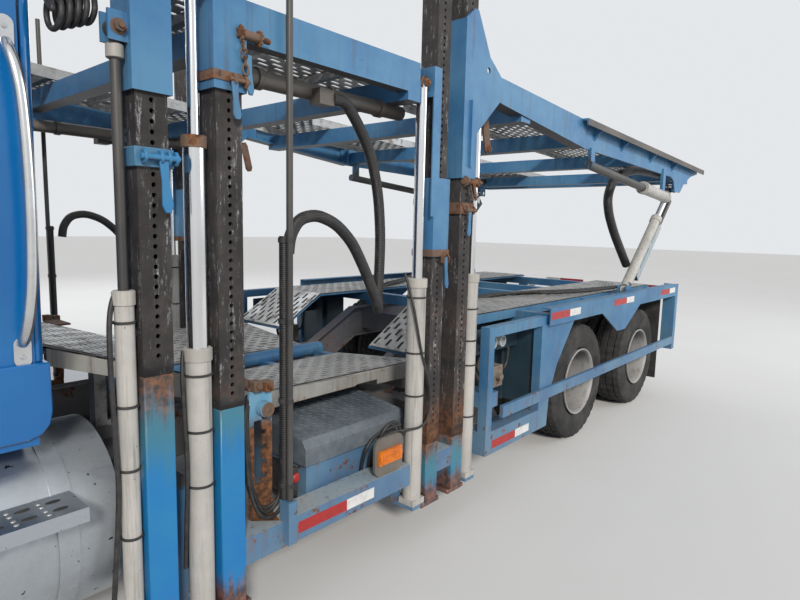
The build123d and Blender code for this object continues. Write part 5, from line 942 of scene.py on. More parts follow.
def ears(build, x, y, z, spread, reach):
    """Two rounded ears that stand out from a face, seen from the side as a D."""
    ring = [(0, -0.022), (reach * 0.6, -0.022), (reach, -0.008), (reach, 0.008), (reach * 0.6, 0.022),
            (0, 0.022)]
    for ear_x in (x - spread, x + spread):
        build.shell([[(ear_x + step, y + out, z + up) for out, up in ring] for step in (-0.005, 0.005)])


def band(build, x, z0, z1):
    """A flat rusted band round a square sleeve."""
    y, half, outer = POST_MIDDLE_Y, SLEEVE_HALF, SLEEVE_HALF + 0.004
    for x0, y0, x1, y1 in ((-outer, -outer, outer, -half), (-outer, half, outer, outer),
                           (-outer, -half, -half, half), (half, -half, outer, half)):
        build.block((x + x0, y + y0, z0), (x + x1, y + y1, z1))


def chain(build, start, end):
    """Oval links of round wire, in turn flat and on edge."""
    pitch, length, width, wire = 0.026, 0.034, 0.020, 0.0032
    start, end = Vector(start), Vector(end)
    along = (end - start).normalized()
    side_way = along.cross(Vector((0.3 * build.side, 1, 0.2 * build.side))).normalized()
    for step in range(max(1, int((end - start).length / pitch))):
        flat_to = side_way if step % 2 else along.cross(side_way).normalized() * build.side
        normal = along.cross(flat_to).normalized()
        middle = start + along * (step + 0.5) * pitch
        rings = []
        for c, s in circle(12):
            stretch = (length - width) / 2 * (1 if c > 0 else -1)
            centre = middle + along * (c * width / 2 + stretch) + flat_to * (s * width / 2)
            outward = (along * c + flat_to * s).normalized()
            rings.append([centre + (outward * a + normal * b) * wire for a, b in circle(5)])
        build.shell(rings, closed=True)


def winch(build, x, y, z, length):
    """A ratchet wheel at each end of a drum, and a bar end along X."""
    teeth = [(a * radius, b * radius) for (a, b), radius in zip(circle(24), (0.025, 0.030) * 12)]
    for wheel_x in (x, x + length - 0.008):
        build.shell([[(wheel_x + step, y + a, z + b) for a, b in teeth] for step in (0.0, 0.007)])
    build.rod((x - 0.010, y, z), (x + length + 0.006, y, z), 0.017, 16)
    build.rod((x + length + 0.006, y, z), (x + length + 0.040, y, z), 0.011, 10)


SLEEVE_HALF = 0.064
SLEEVE_OUTER_Y = POST_MIDDLE_Y + SLEEVE_HALF
first, second, third, fourth = POST_X
# Lock collar of the first post
assemble("lock_post_1_*", post_blue, "truck", 0.002,
         (ears, first - 0.012, 1.262, 1.840, 0.026, 0.028), (ears, first + 0.052, 1.262, 1.840, 0.012, 0.026),
         (rod, (first - 0.052, 1.278, 1.840), (first + 0.074, 1.278, 1.840), 0.010, 12),
         (handle, first + 0.020, 1.272, 1.836, 0.165, 0.016, 0.012))
# Second sleeve: bands, winch, handles and chain
assemble("winch_post_2_*", iron_rusty, "mid_deck", 0.001,
         (band, second, 2.118, 2.150), (winch, second + 0.034, 1.2635, 2.284, 0.085),
         (ears, second + 0.030, SLEEVE_OUTER_Y, 2.125, 0.022, 0.024),
         (rod, (second - 0.012, 1.277, 2.125), (second + 0.066, 1.277, 2.125), 0.008, 10))
assemble("handles_post_2_*", frame_blue, "mid_deck", 0.002,
         (handle, second + 0.006, 1.272, 2.110, 0.115, 0.014, 0.010),
         (handle, second + 0.062, 1.272, 2.205, 0.120, 0.012, 0.008))
assemble("chain_post_2_*", iron_rusty, "mid_deck", 0,
         (chain, (second + 0.040, 1.277, 2.255), (second + 0.050, 1.280, 2.150)))
# Third sleeve: band and handle
assemble("band_post_3_*", iron_rusty, "mid_deck", 0.001,
         (band, third, 1.502, 1.536), (ears, third + 0.030, SLEEVE_OUTER_Y, 1.490, 0.020, 0.024))
assemble("handle_post_3_*", frame_blue, "mid_deck", 0.002,
         (handle, third + 0.030, 1.272, 1.488, 0.150, 0.013, 0.014))
# Rear carriage: winch with its hook, handle below
assemble("winch_post_4_*", iron_rusty, "truck", 0.001,
         (winch, fourth - 0.040, 1.2635, 1.892, 0.120), (ears, fourth + 0.010, 1.262, 1.742, 0.028, 0.026),
         (rod, (fourth + 0.030, 1.276, 1.885), (fourth + 0.052, 1.280, 1.795), 0.009, 8),
         (rod, (fourth - 0.034, 1.278, 1.742), (fourth + 0.060, 1.278, 1.742), 0.010, 10))
assemble("handle_post_4_*", frame_blue, "truck", 0.002,
         (handle, fourth + 0.004, 1.272, 1.735, 0.130, 0.014, -0.006))
assemble("chain_post_4_*", iron_black, "truck", 0,
         (chain, (fourth - 0.010, 1.279, 1.868), (fourth + 0.012, 1.281, 1.775)))
# Bolts through the rod eyes, and the rusted link by the rear pivot
assemble("eye_bolt_head_*", iron_rusty, "head_deck", 0.001,
         (nut, (first - 0.090, 1.246, 2.206), 0.017, 0.016),
         (turned, [(0.0, 0.024), (0.004, 0.024), (0.004, 0.012), (0.0, 0.012)],
          (first - 0.090, 1.2425, 2.206), 24))
assemble("rod_collar_*", ivory, "head_deck", 0.001,
         (turned, [(2.118, 0.019), (2.122, 0.026), (2.158, 0.026), (2.164, 0.019)],
          (first - 0.090, 1.215, 0), 24, "Z"))
assemble("eye_bolt_mid_*", iron_rusty, "mid_deck", 0.001, (nut, (third - 0.120, 1.2355, 2.330), 0.020, 0.018))
LINK = [(0.455, 2.300), (0.500, 2.310), (0.520, 2.285), (0.565, 2.110), (0.555, 2.080), (0.525, 2.075),
        (0.505, 2.095)]
assemble("pivot_link_*", iron_rusty, "rear_deck", 0.001, (flat, LINK, 1.160, 1.172),
         *[(nut, place, 0.018, 0.014) for place in ((0.485, 1.172, 2.285), (0.535, 1.172, 2.100))])

# %% [markdown]
# ## Battery box, rack and marker lamp
# The lid is moulded with a fine chequer. Beside it hang cables and a bundle of
# small hoses, the rack has rusted lugs at its head, and the marker lamp has a
# ribbed amber lens.

# %% Small things between the middle posts
LID_START_X, LID_END_X, LID_SLOPE = -0.762, -0.088, 0.126
CHEQUER_ROWS, CHEQUER_COLUMNS = 20, 26
chequer = Build()
step_x = (LID_END_X - LID_START_X - 0.03) / CHEQUER_COLUMNS
for row in range(CHEQUER_ROWS):
    y = -1.076 + row * 0.0252
    z = 0.6875 + 0.066 * (y + 1.086) / 0.526
    for column in range(CHEQUER_COLUMNS):
        x = LID_START_X + 0.02 + (column + (row % 2) / 2) * step_x
        lean = 0.0045 if (row + column) % 2 else -0.0045
        corners = [(-0.009, -lean - 0.0015), (0.009, lean - 0.0015), (0.009, lean + 0.0015),
                   (-0.009, -lean + 0.0015)]
        chequer.shell([[(x + dx, y + dy, z + dy * LID_SLOPE + top) for dx, dy in corners]
                       for top in (-0.002, 0.0008)])
chequer.finish("lid_chequer", lid_grey, "battery_lid")
switch = Build()
switch.block((-0.800, -1.062, 0.420), (-0.764, -0.860, 0.560))
switch.block((-0.812, -1.072, 0.405), (-0.764, -0.850, 0.420))
switch.finish("switch_box", trim_black, bevel=0.004)
knob = Build()
knob.turned([(0, 0.022), (-0.010, 0.022), (-0.016, 0.014), (-0.016, 0.004)], (-0.782, -1.062, 0.515), 20)
knob.finish("switch_knob", tape_red)

lug_places = ((-1.045, 1.004), (-0.992, 0.996))
assemble("rack_lugs_*", iron_rusty, "truck", 0.003,
         *[(block, (x - 0.020, 1.118, z - 0.020), (x + 0.020, 1.165, z + 0.022)) for x, z in lug_places],
         *[(nut, (x, 1.165, z + 0.002), 0.014, 0.012) for x, z in lug_places],
         (block, (-1.072, 0.905, 0.984), (-0.985, 1.135, 0.996)),
         (turned, [(0, 0.030), (0.006, 0.030), (0.006, 0.010), (0.010, 0.008)], (-1.015, 1.1805, 0.910), 24))
LENS_X, LENS_Y = -0.345, 1.254
lens = [(LENS_X + 0.052 * (1 if c > 0 else -1) + 0.026 * c, 0.545 + 0.030 * s) for c, s in circle(20)]
ribs = [(LENS_X + (column - 4) * 0.0145, z) for column in range(9) for z in (0.533, 0.557)]
assemble("marker_lens_*", lens_amber, "truck", 0.001, (flat, lens, LENS_Y - 0.002, LENS_Y + 0.006),
         *[(block, (x - 0.005, LENS_Y, z - 0.008), (x + 0.005, LENS_Y + 0.010, z + 0.008)) for x, z in ribs])

# %% [markdown]
# ## Tyres and wheels
# A truck tyre has a bulged sidewall, a rim bead, and a tread cut by three
# grooves round it and many sipes across. The profile is turned round the axle,
# and every third step of the tread is pressed in to make the blocks.

# %% Tyres with tread
TYRE_RADIUS, TYRE_HALF_WIDTH, BEAD_RADIUS = 0.460, 0.137, 0.262
GROOVE_DEPTH, GROOVE_HALF, TREAD_STEPS = 0.012, 0.006, 108
AXLE_Z = 0.460
FRONT_AXLE_X, DRIVE_AXLE_X = BUMPER_X + 1.050, (BUMPER_X + 6.690, BUMPER_X + 8.010)
WHEEL_SETS = [("tyre_front_*", "wheel_front_*", FRONT_AXLE_X, False, 0.004)]
WHEEL_SETS += [(f"tyres_drive_{axle}_*", f"wheels_drive_{axle}_*", x, True, 0.010)
               for axle, x in enumerate(DRIVE_AXLE_X, 1)]


def tyre_profile():
    """(along, radius) points from one bead round to the other."""
    w, r = TYRE_HALF_WIDTH, TYRE_RADIUS
    wall = [(w * 0.80, BEAD_RADIUS), (w * 0.90, BEAD_RADIUS + 0.012), (w * 0.97, r - 0.135), (w, r - 0.095),
            (w * 0.985, r - 0.052), (w * 0.93, r - 0.022), (w * 0.86, r - 0.008)]
    tread = [(w * centre + GROOVE_HALF * share, r - depth) for centre in (0.48, 0.0, -0.48)
             for share, depth in ((1, 0), (0.6, GROOVE_DEPTH), (-0.6, GROOVE_DEPTH), (-1, 0))]
    return wall + tread + [(-along, radius) for along, radius in reversed(wall)]


def tyre(build, x, y, tread_cut):
    rings = []
    for step in range(TREAD_STEPS):
        turn = math.tau * (step + 0.5) / TREAD_STEPS
        ring = []
        for along, radius in tyre_profile():
            lean = 0.0
            if radius > TYRE_RADIUS - 0.024:
                lean = 0.018 * abs(along) / TYRE_HALF_WIDTH
                radius -= tread_cut if step % 3 == 0 else 0.0
            ring.append((x + radius * math.cos(turn + lean), y + along,
                         AXLE_Z + radius * math.sin(turn + lean)))
        rings.append(ring)
    build.shell(rings, closed=True)


for tyre_node, body, x, twin, tread_cut in WHEEL_SETS:
    for side in SIDES:
        treads = Build(side)
        node_name = sided(tyre_node, side)
        low, high = sorted(abs(corner[1]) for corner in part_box(node_name))
        for y in (low + TYRE_HALF_WIDTH, high - TYRE_HALF_WIDTH) if twin else ((low + high) / 2,):
            tyre(treads, x, y, tread_cut)
        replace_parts(treads.finish(f"{tyre_node}_tread", tyre_black, body), node_name)

# %% [markdown]
# ## Wheel discs
# The steel wheels have a hub with a cap, ten nuts on a circle, and hand holes
# in the disc, drawn as black discs that are painted shade of the holes. Rim and
# disc are turned anew with rolled flanges, and both sides are made by one loop.

# %% Rims, discs, nuts, hub caps and the painted shade of the hand holes
NUT_COUNT, NUT_CIRCLE, HAND_HOLE_CIRCLE = 10, 0.1425, 0.190
FRONT_WHEEL_Y, OUTER_DUAL_Y, INNER_DUAL_Y = 1.030, 1.044, 0.744
DUAL_FACE_Y = (OUTER_DUAL_Y + INNER_DUAL_Y) / 2
WHEEL_HALF_WIDTH, RIM_SIDES = 0.139, 72


def hub_details(body, x, y, side, cap_radius, cap_length):
    steel, dark = Build(side), Build(side)
    for c, s in circle(NUT_COUNT, NUT_CIRCLE):
        steel.nut((x + c, y, AXLE_Z + s), 0.017, 0.020)
    steel.turned([(0, cap_radius), (cap_length * 0.8, cap_radius * 0.92), (cap_length, cap_radius * 0.7)],
                 (x, y, AXLE_Z), 24)
    for c, s in circle(NUT_COUNT // 2, HAND_HOLE_CIRCLE, 0.25):
        centre = Vector((x + c, y, AXLE_Z + s))
        # Each hand hole is a thin black disc on the wheel's face: painted shade seen through the hole
        dark.rod(centre, centre + Vector((0, 0.002, 0)), 0.024, 20)
        steel.turned([(0.0, 0.024), (0.004, 0.025), (0.004, 0.029), (0.0, 0.031)], centre, 20)
    steel.finish(f"{body}_hub_nuts", wheel_paint, body)
    dark.finish(f"{body}_hub_hand_holes", trim_black, body)


def rim_ring(build, x, y):
    """The rim: two rolled flanges, bead seats and a drop centre."""
    w = WHEEL_HALF_WIDTH
    outer = [(w, 0.262), (w - 0.004, 0.265), (w - 0.012, 0.264), (w - 0.014, 0.250), (w * 0.35, 0.246)]
    inner = [(w * 0.35, 0.236), (w - 0.02, 0.240), (w - 0.004, 0.250), (w, 0.256)]
    mirrored = [[(-along, radius) for along, radius in reversed(half)] for half in (outer, inner)]
    build.lathe(outer + mirrored[0] + mirrored[1] + inner, (x, y, AXLE_Z), RIM_SIDES)


def disc(build, x, y, bulge):
    """The dished disc with a raised ring for the nuts; bulge is how far its middle stands out."""
    profile = [(0.0, 0.237), (bulge * 0.25, 0.222), (bulge * 0.9, 0.175), (bulge, 0.165), (bulge, 0.105),
               (bulge - 0.012, 0.105), (bulge - 0.012, 0.160), (bulge * 0.9 - 0.014, 0.170),
               (bulge * 0.25 - 0.012, 0.214), (-0.012, 0.237)]
    build.lathe(profile, (x, y, AXLE_Z), RIM_SIDES)


for _, body, x, twin, _ in WHEEL_SETS:
    for side in SIDES:
        rims = Build(side)
        for y in (OUTER_DUAL_Y, INNER_DUAL_Y) if twin else (FRONT_WHEEL_Y,):
            rim_ring(rims, x, y)
        face_y, cap = (DUAL_FACE_Y + 0.018, 0.118) if twin else (FRONT_WHEEL_Y + 0.100, 0.052)
        if twin:
            disc(rims, x, DUAL_FACE_Y + 0.045, -0.028)
            disc(rims, x, DUAL_FACE_Y - 0.045, 0.030)
        else:
            disc(rims, x, FRONT_WHEEL_Y + 0.062, 0.040)
        rims.turned([(-0.06, 0.104), (cap * 0.8, 0.098), (cap, 0.088), (cap + 0.004, 0.05)],
                    (x, face_y, AXLE_Z), 48)
        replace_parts(rims.finish(f"{body}_rim", wheel_paint, body), sided(body, side))
        hub_details(body, x, face_y + 0.002, side, 0.070, cap - 0.004)

# %% [markdown]
# ## Tape along the lower edges
# Trucks this wide carry a band of reflecting tape: eleven inches of red, then
# seven of white, two inches high. Each strip is a thin plate laid on the steel.

# %% Tape strips
INCH = 0.0254
RED_RUN, WHITE_RUN, TAPE_HEIGHT = 11 * INCH, 7 * INCH, 2 * INCH
TAPE_THICKNESS, TAPE_PIECE, TAIL_X = 0.0004, 0.458, BUMPER_X + 8.6895
reds, whites = Build(), Build()
# The start of each piece of tape from the bumper, its lower edge, and the face it lies on
for start, z, y in ((5.910, 1.048, 1.295), (7.015, 1.048, 1.295), (8.203, 1.048, 1.295),
                    (3.788, 0.368, 1.246), (5.250, 0.330, 1.270)):
    x = BUMPER_X + start
    for build, run in ((reds, RED_RUN), (whites, TAPE_PIECE - RED_RUN)):
        build.block((x, y - 0.002, z), (x + run - 0.001, y + TAPE_THICKNESS, z + TAPE_HEIGHT))
        x += run
reds.mirror()
whites.mirror()
for y in (-1.19, -0.30, 0.60):
    for build, run in ((reds, RED_RUN), (whites, WHITE_RUN)):
        build.block((TAIL_X, y, 1.05), (TAIL_X + 0.0013, y + run, 1.05 + TAPE_HEIGHT))
        y += run
reds.finish("tape_red_strips", tape_red)
whites.finish("tape_white_strips", tape_white)

# %% [markdown]
# ## Cylinders and their hoses
# The lift cylinders are fed by rubber hoses that run up the barrels, held by
# black ties. A bundle of small hoses hangs in a loop below the rack, and cables
# leave the battery box and arch over the marker lamp.


# %% Ties and glands
def zip_tie(build, x, y, z, radius):
    """A tie round a barrel and its hose, with its buckle on the inside."""
    build.turned([(-0.004, radius + 0.001), (-0.004, radius + 0.0035), (0.004, radius + 0.0035),
                  (0.004, radius + 0.001)], (x, y, z), 28, "Z")
    # The left side's buckle is the thicker one
    build.block((x - 0.006, y - radius - 0.004 * build.side, z - 0.006),
                (x + 0.006, y - radius - 0.010 + 0.004 * build.side, z + 0.006))


CYLINDER_Y = 1.215
CYLINDERS = [
    # name, x, barrel radius, barrel top, heights of its ties
    ("a", POST_X[0] - 0.090, 0.030, 1.430, (0.62, 0.85, 1.06, 1.33)),
    ("b", POST_X[1] - 0.114, 0.044, 1.215, (0.72, 0.92, 1.12)),
    ("c", POST_X[2] - 0.120, 0.047, 1.395, (0.80, 1.02, 1.30)),
    ("d", POST_X[3] + 0.125, 0.044, 1.395, (0.58, 0.88, 1.02, 1.20)),
]
for label, x, radius, top, tie_heights in CYLINDERS:
    y = CYLINDER_Y
    assemble(f"ties_{label}_*", trim_black, "truck", 0,
             *[(zip_tie, x, y, z, radius + 0.001) for z in tie_heights])
    assemble(f"gland_{label}_*", ivory, "truck", 0,
             (rod, (x, y, 0.262), (x, y - radius - 0.045, 0.262), 0.013, 12),
             (rod, (x, y - radius - 0.020, 0.262), (x, y - radius - 0.040, 0.262), 0.018, 6),
             (turned, [(top - 0.045, radius + 0.0015), (top - 0.045, radius + 0.005),
                       (top - 0.004, radius + 0.005),
                       (top - 0.001, radius + 0.002)], (x, y, 0), 36, "Z"))

# %% Small hoses and cables
LOOP = [(-1.060, 1.120, 0.955), (-1.100, 1.150, 0.940), (-1.118, 1.175, 0.800), (-1.116, 1.190, 0.620),
        (-1.075, 1.200, 0.485), (-1.010, 1.205, 0.462), (-0.955, 1.205, 0.500), (-0.945, 1.205, 0.600),
        (-0.944, 1.205, 0.760)]
for index, (dx, dy, dz) in enumerate(((0, 0, 0), (0.017, 0.012, 0.019), (0.004, 0.020, 0.036))):
    hoses(f"rack_hose_{index}_*", 0.0078,
          [(x + dx * (1 if x < -1.02 else -1), y - dy, z + (dz if z < 0.6 else 0))
                                          for x, y, z in LOOP])
hoses("barrel_hose_*", 0.0062, [
    (-0.190, 1.180, 1.420), (-0.196, 1.225, 1.330), (-0.192, 1.262, 1.200), (-0.160, 1.276, 1.020),
    (-0.098, 1.279, 0.880), (-0.070, 1.270, 0.760), (-0.082, 1.270, 0.675), (-0.145, 1.276, 0.640),
    (-0.215, 1.245, 0.640), (-0.290, 1.180, 0.628), (-0.340, 1.150, 0.560), (-0.350, 1.140, 0.460)])
hoses("feed_hose_a_*", 0.0085, [
    (-1.600, 1.205, 1.425), (-1.628, 1.215, 1.390), (-1.634, 1.222, 1.200), (-1.628, 1.225, 0.990),
    (-1.622, 1.225, 0.800), (-1.632, 1.225, 0.640), (-1.645, 1.220, 0.480), (-1.640, 1.190, 0.340)])
hoses("feed_hose_b_*", 0.0075, [
    (-1.380, 1.200, 1.205), (-1.396, 1.215, 1.160), (-1.398, 1.228, 1.000), (-1.392, 1.235, 0.800),
    (-1.400, 1.232, 0.620), (-1.396, 1.210, 0.420)])
for index, cable in enumerate((
        [(-0.400, 1.100, 0.420), (-0.425, 1.142, 0.540), (-0.375, 1.150, 0.612), (-0.290, 1.165, 0.640),
         (-0.215, 1.195, 0.655)],
        [(-0.340, 1.100, 0.430), (-0.392, 1.148, 0.500), (-0.345, 1.158, 0.590), (-0.260, 1.180, 0.630),
         (-0.190, 1.205, 0.600)],
        [(-0.345, 1.120, 0.440), (-0.348, 1.168, 0.580), (-0.310, 1.178, 0.665), (-0.240, 1.190, 0.680),
         (-0.206, 1.190, 0.620), (-0.200, 1.185, 0.520), (-0.204, 1.180, 0.440)])):
    hoses(f"battery_cable_{index}_*", 0.0085, cable)

# %% [markdown]
# ## Loose coils and clamps
# A coil of hose hangs under the head deck beside the first sleeve, and two
# hoses lie across the rear lower deck. The wound hoses are held by flat clamps
# at the brace rod.

# %% Coil, lying hoses and clamps
COIL_TURNS, COIL_STEPS, COIL_RADIUS = 5, 12, 0.040
coil = [(-1.735, 1.10, 2.30)]
for step in range(COIL_TURNS * COIL_STEPS + 1):
    turn, along = math.tau * step / COIL_STEPS, step / (COIL_TURNS * COIL_STEPS)
    coil.append((-1.735 + 0.115 * along, 1.145 + COIL_RADIUS * math.cos(turn),
                 2.215 + 0.05 * along + COIL_RADIUS * math.sin(turn)))
hoses("coil_hose_*", 0.0085, coil + [(-1.600, 1.12, 2.34)], "head_deck")
for index, (dx, dz) in enumerate(((0.0, 0.0), (0.055, 0.012))):
    hoses(f"deck_hose_{index}_*", 0.013, [
        (2.86 + dx, 1.09, 1.150), (2.70 + dx, 1.02, 1.135 + dz), (2.30 + dx, 0.90, 1.124 + dz),
        (1.90 + dx, 0.62 + dx, 1.122 + dz), (1.50, 0.50 + dx, 1.122), (1.25, 0.40 + dx, 1.06)])


def strap(y, z, half, inner, outer, sides):
    """A flat ring round the brace rod or its hose."""
    return (turned, [(-half, inner), (-half, outer), (half, outer), (half, inner)], (-0.970, y, z), sides,
            "Z")


clamp_heights = (0.60, 0.95, 1.27, 1.585)
assemble("brace_clamps_*", trim_black, "truck", 0,
         *[strap(1.2287, z, 0.010, 0.0215, 0.0240, 20) for z in clamp_heights],
         *[strap(1.262, z, 0.008, 0.0132, 0.0160, 16) for z in clamp_heights])

# %% [markdown]
# ## The cab's small pieces
# Door handles, wipers, roof lamps, gaskets and mirror glass are what makes a
# box of sheet metal read as a cab. They ride on the doors or on the cab.


# %% Cab details
def frame_of(outline, y, radius, sides):
    """Rods along the edges of an outline in X and Z."""
    return [(rod, (x0, y, z0), (x1, y, z1), radius, sides) for (x0, z0), (x1, z1) in around(outline)]


assemble("door_handle_*", bright_trim, "door_*", 0.001,
         (block, (-2.130, 1.101, 1.565), (-2.000, 1.106, 1.640)),
         *[(rod, (x, 1.104, 1.603), (x, 1.128, 1.603), 0.009, 12) for x in (-2.118, -2.020)],
         (rod, (-2.126, 1.130, 1.603), (-2.012, 1.130, 1.603), 0.009, 14),
         (turned, [(0, 0.013), (0.004, 0.013), (0.005, 0.008), (0.005, 0.002)], (-2.065, 1.1055, 1.530), 20),
         slot="rod_chrome")
assemble("window_gasket_*", trim_black, "door_*", 0,
         *frame_of([(-2.770, 1.730), (-2.385, 2.240), (-2.070, 2.240), (-2.070, 1.730)], 1.1005, 0.010, 8))
assemble("door_pressing_*", cab_blue, "door_*", 0,
         *frame_of([(-2.83, 1.06), (-2.83, 1.16), (-2.01, 1.16), (-2.01, 1.06)], 1.0995, 0.004, 6))
assemble("mirror_glass_*", rod_metal, "door_*", 0.001,
         (block, (-2.7698, 1.182, 1.755), (-2.7675, 1.338, 2.125)))

roof = Build()
for y in (-0.62, -0.31, 0.0, 0.31, 0.62):
    roof.turned([(-0.07, 0.010), (-0.05, 0.024), (0.04, 0.028), (0.07, 0.020)], (-2.300, y, 2.452), 20, "X")
roof.finish("roof_lamps", lens_amber)

wipers = Build()
SCREEN_FOOT, SCREEN_HEAD = Vector((-2.950, 0, 1.700)), Vector((-2.560, 0, 2.400))
screen_up = (SCREEN_HEAD - SCREEN_FOOT).normalized()
screen_out = Vector((-screen_up.z, 0, screen_up.x))
blade = (Vector((0, 0.10, 0)) + screen_up * 0.95).normalized() * 0.24
for foot_y, tip_y in ((-0.42, -0.78), (0.38, 0.02)):
    foot = SCREEN_FOOT + screen_up * 0.06 + Vector((0, foot_y, 0)) + screen_out * 0.006
    tip = SCREEN_FOOT + screen_up * 0.42 + Vector((0, (foot_y + tip_y) / 2, 0)) - screen_out * 0.008
    wipers.rod(foot, foot + screen_out * 0.020, 0.016, 14)
    wipers.rod(foot + screen_out * 0.012, tip, 0.006, 8, 0.004)
    wipers.rod(tip - blade, tip + blade, 0.006, 6)
wipers.finish("wipers", trim_black)

rings = Build()
for z in (0.795, 0.957):
    rings.block((-4.560, 0.73, z), (-4.548, 1.07, z + 0.008))
for y in (0.83, 0.985):
    rings.turned([(-0.006, 0.062), (-0.012, 0.068), (-0.012, 0.074), (-0.002, 0.076)], (-4.556, y, 0.88), 36,
                 "X")
rings.mirror()
rings.finish("lamp_rings", bright_trim, "hood")

# %% [markdown]
# ## The cab's rear corner
# The cab ends in a round corner post with a wider skirt at its foot. A bright
# grab handle stands off it on two round pads, bent at both ends.

# %% Corner, skirt and grab handle
CORNER_RADIUS = 0.022
corner = [(-1.801, 1.02), (-1.801, 1.1005)]
corner += [(-1.795 + CORNER_RADIUS * math.sin(turn), 1.0785 + CORNER_RADIUS * math.cos(turn))
           for turn in (math.pi / 2 * k / 6 for k in range(7))]
corner += [(-1.773, 1.02)]
levels = ((1.215, 0.0), (2.40, 0.012), (2.455, -0.002))
skirt = [(-1.965, 1.2155), (-1.8, 1.2155), (-1.765, 1.2155), (-1.763, 1.06), (-1.772, 1.022), (-1.795, 0.995),
         (-1.835, 0.984), (-1.965, 0.984)]
assemble("cab_corner_*", cab_blue, "truck", 0.004,
         (Build.shell, [[(x + lean, y, z) for x, y in corner] for z, lean in levels]),
         (flat, skirt, 1.094, 1.118), (block, (-1.801, 1.0, 1.02), (-1.764, 1.10, 1.2155)))
for grip in hoses("grab_handle_*", 0.0165, [
        (-1.832, 1.106, 2.128), (-1.832, 1.128, 2.108), (-1.822, 1.150, 2.050), (-1.812, 1.156, 1.960),
        (-1.806, 1.157, 1.700), (-1.812, 1.156, 1.480), (-1.821, 1.150, 1.380), (-1.831, 1.130, 1.300),
        (-1.832, 1.106, 1.280)], material=bright_trim):
    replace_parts(grip, "grab_handles")


def pad(build, z, away):
    """An oval pad, whose middle lies away from the handle's end."""
    oval = [(-1.832 + 0.024 * math.cos(turn),
             z + away + 0.024 * math.sin(turn) + (0.022 if turn < math.pi else -0.022))
            for turn in (math.tau * k / 24 for k in range(24))]
    build.flat(oval, 1.1005, 1.1065)
    build.nut((-1.832, 1.1065, z + away * 1.5), 0.008, 0.005)


assemble("handle_pads_*", bright_trim, "truck", 0.001, (pad, 2.128, 0.028), (pad, 1.280, -0.028),
         slot="rod_chrome")

# %% [markdown]
# ## Inside the box frame
# Behind the open frame before the rear wheels stand a blue bulkhead, two
# hydraulic ports with their caps, a small valve block and its hoses. The
# bulkhead is painted a very dark blue, as painted shade inside the box.

# %% Bulkhead, ports and valve
PORT_X, PORT_Z = (0.690, 0.795), 0.945
PORT_RIM = [(1.145, 0.028), (1.145, 0.038), (1.172, 0.038), (1.175, 0.034), (1.175, 0.027), (1.155, 0.025)]
# The bulkhead's very dark blue is painted shade inside the box frame
assemble("box_bulkhead_*", box_inside, "truck", 0.002,
         (block, (1.150, 0.66, 0.46), (1.156, 1.215, 1.020)),
         (block, (1.120, 0.90, 0.46), (1.150, 0.98, 1.000)),
         (block, (0.500, 1.07, 0.86), (1.150, 1.078, 1.020)))
assemble("port_rims_*", flange_pale, "truck", 0.001,
         *[(turned, PORT_RIM, (x, 0, PORT_Z), 24) for x in PORT_X])
assemble("box_ports_*", iron_black, "truck", 0.001,
         *[(turned, [(1.06, 0.026), (1.150, 0.026), (1.152, 0.020)], (x, 0, PORT_Z), 20) for x in PORT_X],
         *[(nut, (x, 1.078, 0.885), 0.018, 0.014) for x in PORT_X],
         (block, (0.80, 1.0, 0.62), (0.93, 1.10, 0.76)),
         (rod, (0.865, 1.10, 0.69), (0.865, 1.135, 0.69), 0.022, 16),
         *[(rod, (0.80, 1.05, z), (0.76, 1.05, z), 0.014, 12) for z in (0.65, 0.73)])
for index, x in enumerate(PORT_X):
    hoses(f"port_hose_{index}_*", 0.011, [
        (x, 1.08, PORT_Z), (x, 1.03, PORT_Z - 0.01), (x + 0.02, 1.0, PORT_Z - 0.10),
        (0.70 + index * 0.03, 1.02, 0.72), (0.76, 1.05, 0.65 + index * 0.08)])
hoses("box_hose_*", 0.011, [
    (0.93, 1.05, 0.70), (0.98, 1.06, 0.70), (1.03, 1.07, 0.74), (1.045, 1.07, 0.86), (1.045, 1.06, 1.00)])

# %% [markdown]
# ## Tanks, steps and tail lamps
# The step on each tank has two rows of long holes between small raised rings;
# the holes are black ovals, painted shade of the openings. The tail carries
# round red lamps on its end posts.

# %% Step treads, filler caps and tail lamps
STEP_X, STEP_Y, STEP_Z = -2.535, 1.177, 0.7990
treads = [(STEP_X + column * 0.082, STEP_Y + row * 0.062) for column in range(10) for row in range(2)]
BUMP = [(0.7995, 0.008), (0.8025, 0.0065), (0.8035, 0.004), (0.8035, 0.002)]
assemble("step_tread_*", runway_metal, "truck", 0,
         *[(turned, BUMP, (x - 0.036, y + dy, 0), 10, "Z") for x, y in treads for dy in (0.014, -0.014)],
         slot="tank_metal")
# The long holes are thin black ovals on the tread: painted shade seen through the openings
assemble("step_holes_*", tyre_black, "truck", 0,
         *[(Build.shell, [[(x + 0.021 * c, y + 0.0095 * s, z) for c, s in circle(16)]
                          for z in (STEP_Z, STEP_Z + 0.0022)]) for x, y in treads],
         slot="black_trim")
assemble("filler_cap_*", bright_trim, "truck", 0.001,
         (turned, [(0.905, 0.050), (0.945, 0.050), (0.950, 0.045), (0.952, 0.010)], (-2.640, 0.985, 0), 28,
          "Z"))
assemble("tail_lamps_*", lens_red, "truck", 0,
         *[(turned, [(0.0, 0.050), (0.012, 0.050), (0.018, 0.042), (0.020, 0.010)], (4.002, 1.236, z), 28,
            "X")
           for z in (0.82, 0.97)])
assemble("step_brackets_*", rod_dull, "truck", 0.002,
         *[(flat, [(x, 0.756), (x + 0.11, 0.756), (x + 0.07, 0.640), (x + 0.04, 0.640)], 1.150, 1.158)
           for x in (-2.52, -2.10)])

# %% [markdown]
# ## Floor and light
# A pale floor takes the shadow. The camera sees the backdrop as a plain pale
# wall, which comes from the world seen by camera and mirror rays, and adds no
# light to the truck. A wide soft sun stands low behind the camera, and the sky
# and two broad lamps fill the rest.

